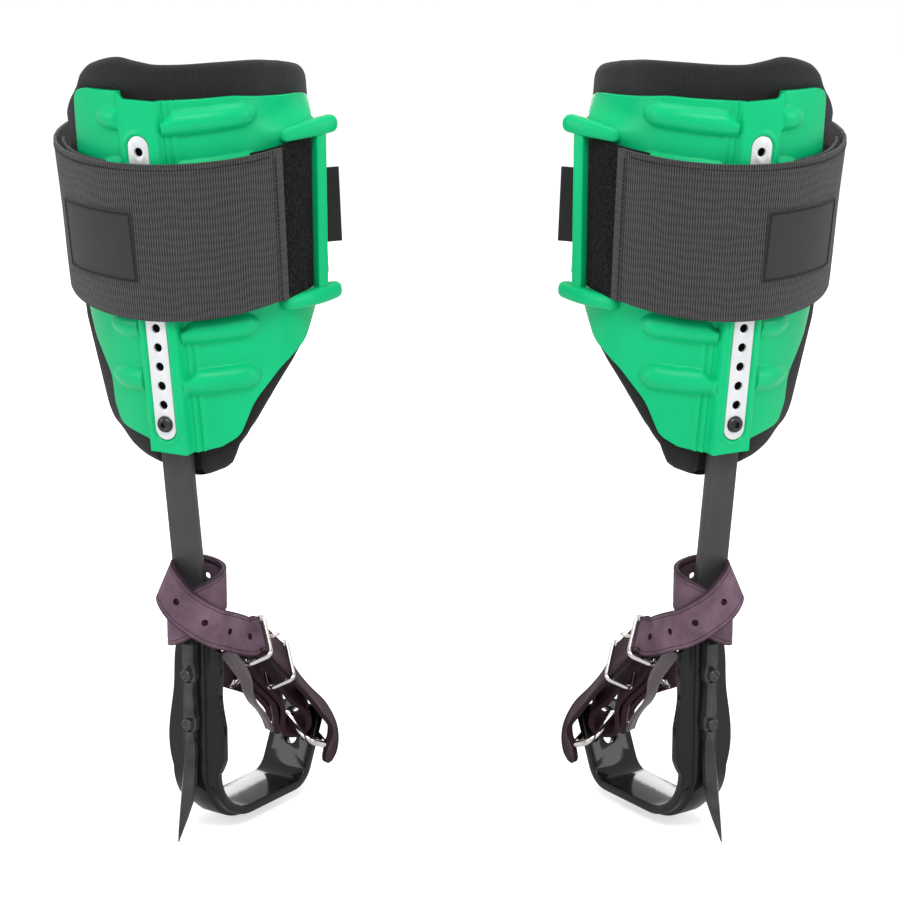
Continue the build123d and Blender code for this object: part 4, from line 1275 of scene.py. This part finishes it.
patch_thread = []
for share in PATCH_MARGINS:
    patch_thread += level_stitches(
        PATCH_THREAD_RADIUS, *PATCH_THREAD_TURNS, lambda turn: patch_level(turn, share),
        PATCH_PITCH, PATCH_ZIGZAG,
    )
for turn in PATCH_THREAD_TURNS:
    patch_ends = [patch_level(turn, share) for share in PATCH_MARGINS]
    patch_thread += upright_stitches(PATCH_THREAD_RADIUS, turn, *patch_ends, PATCH_PITCH, PATCH_ZIGZAG)
place(stitch_row(patch_thread, (2.2, 0.9, 0.8)), "patch_stitches", CUFF, "flap", "black_thread")

flap_thread = level_stitches(FLAP_THREAD_RADIUS, *FLAP_THREAD_TURNS, flap_seam_level, FLAP_PITCH)
for k in range(HEM_STITCHES):
    height = mix(HEM_THREAD_FOOT, HEM_THREAD_TOP, k / (HEM_STITCHES - 1))
    point, ahead, out = round_spot(HEM_THREAD_RADIUS, hem_turn(height), height)
    flap_thread.append((point, (UP + ahead * HEM_THREAD_LEAN).normalized(), out))
place(stitch_row(flap_thread, (2.0, 0.8, 0.7)), "flap_stitches", CUFF, "flap", "black_thread")

# Steel: stirrup, shank, gaff and bolts

eased_copy("stirrup", "stirrup_plate", "spike", "black_steel", 1.2, 3)
eased_copy("shank", "shank_bar", "spike", "satin_steel", 0.9, 3)

# Gaff from its head to its point: height, middle x, back face y, width and depth
GAFF_STATIONS = (
    (122.6, 2.4, -60.5, 3.0, 3.0), (121.4, 2.4, -60.5, 6.6, 5.2), (118, 2.4, -60.5, 8.6, 6.6),
    (107, 2.4, -60.5, 8.8, 6.8), (102.5, 2.4, -60.5, 9.0, 5.4), (97.5, 2.4, -60.5, 9.4, 4.6),
    (93.2, 2.4, -60.5, 8.6, 4.8), (92.4, 2.4, -60.5, 6.6, 6.2), (84, 2.2, -60.5, 6.6, 6.4),
    (74, 2.2, -60.5, 8.0, 6.6), (69.4, 2.3, -60.5, 8.8, 6.2), (68.8, 2.4, -60.5, 9.4, 4.8),
    (64.5, 2.4, -60.5, 9.4, 4.6), (60.4, 2.3, -60.6, 8.6, 4.8), (59.6, 2.3, -60.6, 6.0, 6.4),
    (52, 2.1, -60.8, 6.8, 7.4), (38, 1.6, -61.7, 8.6, 8.0), (24, 0.9, -62.8, 9.6, 8.2),
    (12, 0.6, -65.6, 8.4, 7.0), (2, 0.3, -69.2, 5.6, 5.0), (-6, 0.1, -72.6, 3.0, 2.8),
    (-13, 0, -75.5, 0.5, 0.6),
)
# Sections across the gaff, in shares of its width and depth
BLADE_SECTION = ((-0.5, 0), (0.5, 0), (0.5, 0.4), (0.05, 1), (-0.05, 1), (-0.5, 0.4), (-0.5, 0))
STEM_SECTION = ((-0.5, 0), (0.5, 0), (0.5, 0.75), (0.36, 1), (-0.36, 1), (-0.5, 0.75), (-0.5, 0))


def gaff_shape(u, v):
    """Flat-backed spike, waisted between the bolts, with a ridge down the front of its blade."""
    span = v * (len(GAFF_STATIONS) - 1)
    i = min(len(GAFF_STATIONS) - 2, int(span))
    a, b = (Vector(GAFF_STATIONS[k]) for k in (i, i + 1))
    z, x, back_y, wide, deep = mix(a, b, span - i)
    corner = u * (len(BLADE_SECTION) - 1)
    j = min(len(BLADE_SECTION) - 2, int(corner))
    stem, blade = (mix(Vector(s[j]), Vector(s[j + 1]), corner - j) for s in (STEM_SECTION, BLADE_SECTION))
    spot = mix(stem, blade, ramp(z, 60, 50))
    return Vector((x + spot.x * wide, back_y - spot.y * deep, z))


gaff = bent_sheet(18, 4 * (len(GAFF_STATIONS) - 1), gaff_shape)
close_ends(gaff)
bmesh.ops.recalc_face_normals(gaff, faces=gaff.faces)
crisp(gaff, 20)
place(gaff, "gaff_spike", FOOT, "spike", "forged_steel", ["gaff"])

BOLT_HEIGHTS = (97.5, 64.5)
BOLT_X, BOLT_Y = 2.4, -65.5
BOLT_PROFILE = ((0, 2.6), (2.0, 2.6), (2.3, 3.1), (3.2, 3.1), (3.8, 2.5), (3.8, -2.0), (0, -2.0))
bolt = turned(BOLT_PROFILE, 32)
crisp(bolt, 30)
bolts = facing_front(bolt, BOLT_X, BOLT_Y, BOLT_HEIGHTS)
place(bolts, "bolt_heads", FOOT, "spike", "forged_steel", ["gaff_bolts"])

# Ankle strap: two crossing turns round the shank, then out to the buckle and on to the tail

LEATHER = 2.8
BUCKLE_BAR = -13.7
WRAP_RADIUS = 17.6
LOOP_MIDDLE = Vector((0, -56, 0))
SIDEWAYS = Vector((cos(radians(STIRRUP_YAW)), sin(radians(STIRRUP_YAW)), 0))
TAIL_TIP = 26
HOLE_RADIUS = 2.2
THROUGH_PEG = 8
BLIND_PEG = 4
BLIND_LIFT = 1.3
WRAP_HOLE_SHARE = 0.937
HOLE_PITCH = 21.7
HOLES = 5
FIRST_HOLE = 14.0
# Station behind the shank at which the strap is split into two pieces
BEHIND = 36


def wrap_spot(turn):
    """Point on the strap's two crossing turns round the shank, and the way that it faces."""
    out = outward(radians(turn))
    over_first_turn = 1.8 * ramp(turn, 485, 665) + 1.2 * ramp(turn, 665, 710)
    radius = WRAP_RADIUS + over_first_turn + 2.0 * ramp(turn, 740, 810)
    shift = 2.4 * ramp(turn, 780, 690)
    side = radius * sin(radians(turn - STIRRUP_YAW)) + shift
    if turn < 305:
        level = mix(122, 128.4, ramp(turn, 150, 300))
    elif turn < 485:
        level = 140.5 + 0.8 * side - 3.5 * ramp(side, 5, 20)
    elif turn < 665:
        level = 153 + 4.5 * ramp(turn, 485, 640)
    else:
        level = 142 - 0.72 * side + 3.3 * ramp(-side, 5, 17)
    tilt = 0.42 * ramp(turn, 560, 650) * ramp(turn, 800, 720)
    axis = (UP + SIDEWAYS * tilt).normalized()
    return LOOP_MIDDLE + SIDEWAYS * shift + out * radius + UP * level, out - axis * out.dot(axis)


def past_buckle(along, drop=0.0, aside=0.0, nod=0.0, roll=0.0):
    """Station of the tail past the buckle, with its drop, its shift aside and its face's nod and roll."""
    point = BUCKLE_POINT + RUN * along - LIFT * drop + ACROSS * aside
    return point, LIFT + RUN * nod + ACROSS * roll


to_buckle = [wrap_spot(turn) for turn in range(150, 811, 12)] + [
    ((22.8, -46, 124.4), (1, 0, 0)), ((23, -37, 120), (0.98, 0.06, 0.1)),
    ((23.2, -28, 116), (0.9, 0.22, 0.3)),
]
tail = [
    past_buckle(-3), past_buckle(12), past_buckle(34), past_buckle(60, 2.6, roll=-0.2),
    past_buckle(84, 4.2, roll=-0.2), past_buckle(104, 4.6, 1.5, 0.3, -0.05),
    past_buckle(122, 12.2, 4.6, 0.4, 0.5), past_buckle(141, 22, 8.6, 0.4, 0.95),
]
wrap_run = strap_run(to_buckle[:BEHIND + 1])
wrap_peg = strap_pegs(wrap_run, (WRAP_HOLE_SHARE,), HOLE_RADIUS, THROUGH_PEG)
wrap = cut_out(leather_strip(wrap_run, STRAP_WIDTH, LEATHER), wrap_peg)
place(wrap, "shank_wrap", FOOT, "spike", "leather", ["ankle_wrap"], edge=0.6)
billet_run = strap_run(to_buckle[BEHIND:] + tail)
buckle_at = strap_run(to_buckle[BEHIND:] + tail[:1]).length + 3
hole_shares = [(buckle_at - FIRST_HOLE - HOLE_PITCH * k) / billet_run.length for k in range(HOLES)]
billet_pegs = strap_pegs(billet_run, hole_shares, HOLE_RADIUS, BLIND_PEG, BLIND_LIFT)
billet = cut_out(leather_strip(billet_run, STRAP_WIDTH, LEATHER, TAIL_TIP), billet_pegs)
place(billet, "buckled_strap", FOOT, "spike", "strap_leather", ["ankle_billet", "ankle_tail"], edge=0.6)

# Folded leather: from the buckle's bar through the ring and back, with two more layers under it.
# Each station is along the strap, its lift, and the way that its face looks along and up.
FOLD_WIDTH = 18
FOLD_THICK = 3.3
FOLD_LAYERS = (
    (
        (-2.5, -16.2, -0.7, -0.7), (-3.5, -13.7, -1, 0), (-2.5, -11.2, -0.7, 0.7), (0.5, -10.1, 0, 1),
        (12, -9.5, 0.1, 1), (24, -9.4, 0.1, 1), (40, -10.8, 0.1, 1), (54, -12.0, 0, 1),
        (66, -12.6, -0.1, 1), (76, -10.6, -0.1, 1), (86, -11.4, 0.3, 1), (95, -15.4, 0.7, 0.8),
        (100, -21, 1, 0.3), (100.6, -26.4, 1, -0.2), (97, -31, 0.7, -0.8), (90, -32, -0.2, -1),
        (81, -28, -0.5, -1), (72, -22.8, -0.4, -1), (62, -19.2, -0.2, -1), (48, -18.2, 0, -1),
        (34, -18.6, -0.1, -1), (18, -17.6, -0.1, -1), (4, -17.3, 0, -1), (-1, -17.1, -0.2, -1),
    ),
    (
        (5, -20.5, 0, 1), (18, -21.6, 0, 1), (32, -23.6, 0.1, 1), (46, -23.2, 0, 1), (58, -23.6, 0.1, 1),
        (66, -25.6, 0.3, 1), (74, -29, 0.4, 1), (82, -33, 0.4, 1), (90, -35.8, 0.2, 1),
    ),
    (
        (10, -23.9, 0, 1), (22, -25.6, 0, 1), (34, -28, 0.1, 1), (46, -27.8, 0, 1), (58, -28.4, 0.1, 1),
        (66, -30.4, 0.3, 1), (74, -33.8, 0.4, 1),
    ),
)
fold, under, lowest = (
    leather_strip(
        strap_run([((along, lift, 0), (ahead, up, 0)) for along, lift, ahead, up in layer]),
        FOLD_WIDTH, FOLD_THICK, columns=30, crease=False,
    )
    for layer in FOLD_LAYERS
)
tongue_slot = bmesh.new()
slot_place = Matrix.Translation((-1.5, BUCKLE_BAR, 0)) @ Matrix.Diagonal((14, 16, 4.8, 1))
bmesh.ops.create_cube(tongue_slot, size=1, matrix=slot_place)
folds = joined(cut_out(fold, tongue_slot), under, lowest)
place(folds, "ring_folds", ANKLE, "spike", "dark_leather", ["ankle_folds"], edge=0.9)

# Stitched tab beside the folds

TAB_THICK = 2.2
TAB_STITCHES = 38
TAB_SEAMS = (-0.72, 0.72)
tab_run = strap_run((
    ((-14, -20.4, 9), (-0.2, 0, 1)), ((4, -21.4, 10.4), (-0.1, 0, 1)), ((20, -24.2, 10.6), (0, -0.2, 1)),
    ((34, -29.4, 9.8), (0, -0.5, 0.9)), ((46, -32.4, 9), (0, -0.7, 0.7)),
    ((58, -33.2, 8.6), (0, -0.8, 0.6)), ((70, -34.8, 8.6), (0.2, -0.8, 0.6)),
    ((82, -38, 8.6), (0.3, -0.8, 0.6)),
))


def tab_edge(share, side):
    """Point near one edge of the tab, which narrows on its way to the ring, with its ways along and out."""
    middle, look, across, ahead = tab_run(share)
    half = mix(5.0, 3.4, ramp(share, 0.1, 0.55))
    return middle + across * side * half, ahead, look


tab = bent_sheet(16, 80, lambda u, v: tab_edge(v, 2 * u - 1)[0], (12, tab_run.length))
place(thick(tab, TAB_THICK), "stitched_tab", ANKLE, "spike", "stitched_leather", ["ankle_tab"], edge=0.5)
tab_thread = []
for k in range(TAB_STITCHES):
    for side in TAB_SEAMS:
        point, ahead, look = tab_edge(mix(0.01, 0.99, k / (TAB_STITCHES - 1)), side)
        tab_thread.append((point + look * TAB_THICK / 2, ahead, look))
place(stitch_row(tab_thread, (1.9, 0.6, 0.5)), "tab_stitches", ANKLE, "spike", "grey_thread")

# Liner behind the tab, with its eyelet

LINER_WIDTH = 19
LINER_LOOK = Vector((-0.35, 0.3, 0.88)).normalized()
LINER_POINTS = (
    (-22, -33, 13), (-8, -33.6, 10.4), (8, -34, 5.6), (24, -34, -0.4), (40, -32.4, -6), (54, -29.6, -9),
    (66, -27, -10.4),
)
EYELET_SHARE = 0.6
EYELET_ASIDE = -3.4
EYELET_HOLE = 3.2
EYELET_PEG = 12
EYELET_PROFILE = (
    (3.0, -1.9), (3.4, -2.5), (4.2, -2.6), (5.0, -1.9), (5.0, -1.4), (3.4, -1.3), (3.4, 1.3), (5.0, 1.4),
    (5.0, 1.9), (4.2, 2.6), (3.4, 2.5), (3.0, 1.9), (3.0, -1.9),
)
liner_run = strap_run([(point, LINER_LOOK) for point in LINER_POINTS])
middle, look, _, ahead = liner_run(EYELET_SHARE)
aside = look.cross(ahead)
EYELET = axes(ahead, aside, look, middle + aside * EYELET_ASIDE)
eyelet_peg = peg(EYELET, EYELET_HOLE, EYELET_PEG)
liner = cut_out(leather_strip(liner_run, LINER_WIDTH, LEATHER, columns=36), eyelet_peg)
place(liner, "strap_liner", ANKLE, "spike", "dark_leather", ["ankle_liner"], edge=0.6)
place(turned(EYELET_PROFILE, 36), "liner_eyelet", ANKLE @ EYELET, "spike", "nickel", ["eyelet"])

# Buckle, keeper, tongue and ring of bent wire

TONGUE_CURL = 3.1


def bent_loop(width, low, high, bend, wire, along):
    """Closed loop of round wire round the strap, a rounded rectangle across it."""
    corners = ((high, width / 2), (high, -width / 2), (low, -width / 2), (low, width / 2))
    points, _ = rounded_outline(corners, (bend,) * 4, 7)
    return tube([(along, p.x, p.y) for p in points], wire / 2, cyclic=True)


buckle = bent_loop(width=31.4, low=BUCKLE_BAR, high=3.5, bend=4.0, wire=3.4, along=0)
place(buckle, "wire_buckle", ANKLE, "spike", "nickel", ["buckle_frame"])
keeper = bent_loop(width=30.5, low=-14.5, high=3.5, bend=4.0, wire=3.0, along=33)
place(keeper, "wire_keeper", ANKLE, "keeper", "nickel", ["strap_keeper"])

tongue_points = [
    (TONGUE_CURL * sin(radians(turn)), BUCKLE_BAR - TONGUE_CURL * cos(radians(turn)), 0)
    for turn in range(-200, 90, 15)
]
tongue_points += [(TONGUE_CURL, -12, 0), (TONGUE_CURL, 0, 0), (3.3, 6, 0), (3.2, 10.6, 0)]
place(tube(tongue_points, 1.3), "wire_tongue", ANKLE, "tongue", "nickel", ["buckle_tongue"])

RING_WIRE = 4.5
RING_CORNERS = ((0, 6), (29, 6), (29, -12.9), (0, -12.9))
ring_points, _ = rounded_outline(RING_CORNERS, (6,) * 4)
ring = tube([(p.x, p.y, 0) for p in ring_points], RING_WIRE / 2, cyclic=True, around=12)
place(ring, "wire_ring", RING, "ring", "nickel", ["stirrup_ring"])

# CAD nodes that stay

for side in SIDES:
    backing = frame["nodes"][f"{side}_pad_patches"]
    backing.data.materials.clear()
    backing.data.materials.append(FINISHES["pile_tape"])

# Floor, light and camera, in metres

PAIR_MIDDLE = STANCE / 2000
FLOOR_HALF = 6
FLOOR_DROP = 0.0005
FLOOR_GLOW = 0.6
SKY_LIGHT = 0.40

floor_bm = bmesh.new()
bmesh.ops.create_grid(floor_bm, x_segments=1, y_segments=1, size=FLOOR_HALF)
floor_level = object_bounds()[0][2] - FLOOR_DROP
floor = mesh_object(floor_bm, "floor")
floor.data.transform(Matrix.Translation((0.13, 0, floor_level)))
floor_finish, floor_tree, floor_shader = new_finish("pale_floor", (0.9, 0.9, 0.9), 0.9)
floor_rays = node(floor_tree, "ShaderNodeLightPath")
floor_shader.inputs[SPECULAR].default_value = 0.0
floor_shader.inputs["Emission Color"].default_value = (1, 1, 1, 1)
floor_glow = maths(floor_tree, "MULTIPLY", floor_rays.outputs["Is Camera Ray"], FLOOR_GLOW)
floor_tree.links.new(floor_glow, floor_shader.inputs["Emission Strength"])
floor.data.materials.append(floor_finish)

studio = bpy.data.worlds.new("studio")
bpy.context.scene.world = studio
studio.use_nodes = True
sky = studio.node_tree
background = sky.nodes["Background"]
background.inputs["Color"].default_value = (1, 1, 1, 1)
rays = node(sky, "ShaderNodeLightPath")
seen = maths(sky, "MAXIMUM", rays.outputs["Is Camera Ray"], rays.outputs["Is Glossy Ray"])
seen = maths(sky, "MAXIMUM", seen, rays.outputs["Is Transmission Ray"])
sky.links.new(spread(sky, seen, SKY_LIGHT, 1.0), background.inputs["Strength"])


def soft_box(name, spot, aim, size, power):
    """Large soft lamp."""
    lamp = bpy.data.lights.new(name, "AREA")
    lamp.shape = "RECTANGLE"
    lamp.size, lamp.size_y = size
    lamp.energy = power
    stand = bpy.data.objects.new(name, lamp)
    stand.location = spot
    stand.rotation_euler = (Vector(aim) - Vector(spot)).to_track_quat("-Z", "Y").to_euler()
    bpy.context.scene.collection.objects.link(stand)


LAMP_AIM = (PAIR_MIDDLE, 0, 0.23)
soft_box("key_light", (PAIR_MIDDLE, -1.5, 2.0), LAMP_AIM, (1.6, 0.8), 28)
soft_box("top_light", (PAIR_MIDDLE, 0.2, 2.2), LAMP_AIM, (1.6, 0.8), 12)
for side, away in zip(SIDES, (-1, 1)):
    soft_box(f"{side}_light", (PAIR_MIDDLE + away * 1.4, -0.45, 0.66), LAMP_AIM, (0.4, 0.8), 4.5)
    back_spot = (PAIR_MIDDLE + away * 0.52, 1.6, 0.62)
    soft_box(f"{side}_back_light", back_spot, (PAIR_MIDDLE + away * 0.2, 0, 0.1), (0.55, 0.5), 4)

CAMERA_DOWN = radians(16)
CAMERA_FAR = 2.2
CAMERA_AIM = Vector((PAIR_MIDDLE, 0, 0.229))
camera_look = Vector((0, cos(CAMERA_DOWN), -sin(CAMERA_DOWN)))
camera_data = bpy.data.cameras.new("photo_camera")
camera_data.sensor_width = 36
camera_data.lens = 138.6
camera = bpy.data.objects.new("photo_camera", camera_data)
camera.location = CAMERA_AIM - camera_look * CAMERA_FAR
camera.rotation_euler = camera_look.to_track_quat("-Z", "Y").to_euler()
bpy.context.scene.collection.objects.link(camera)
bpy.context.scene.camera = camera
bpy.context.scene.view_settings.view_transform = "Standard"

bpy.context.view_layer.update()
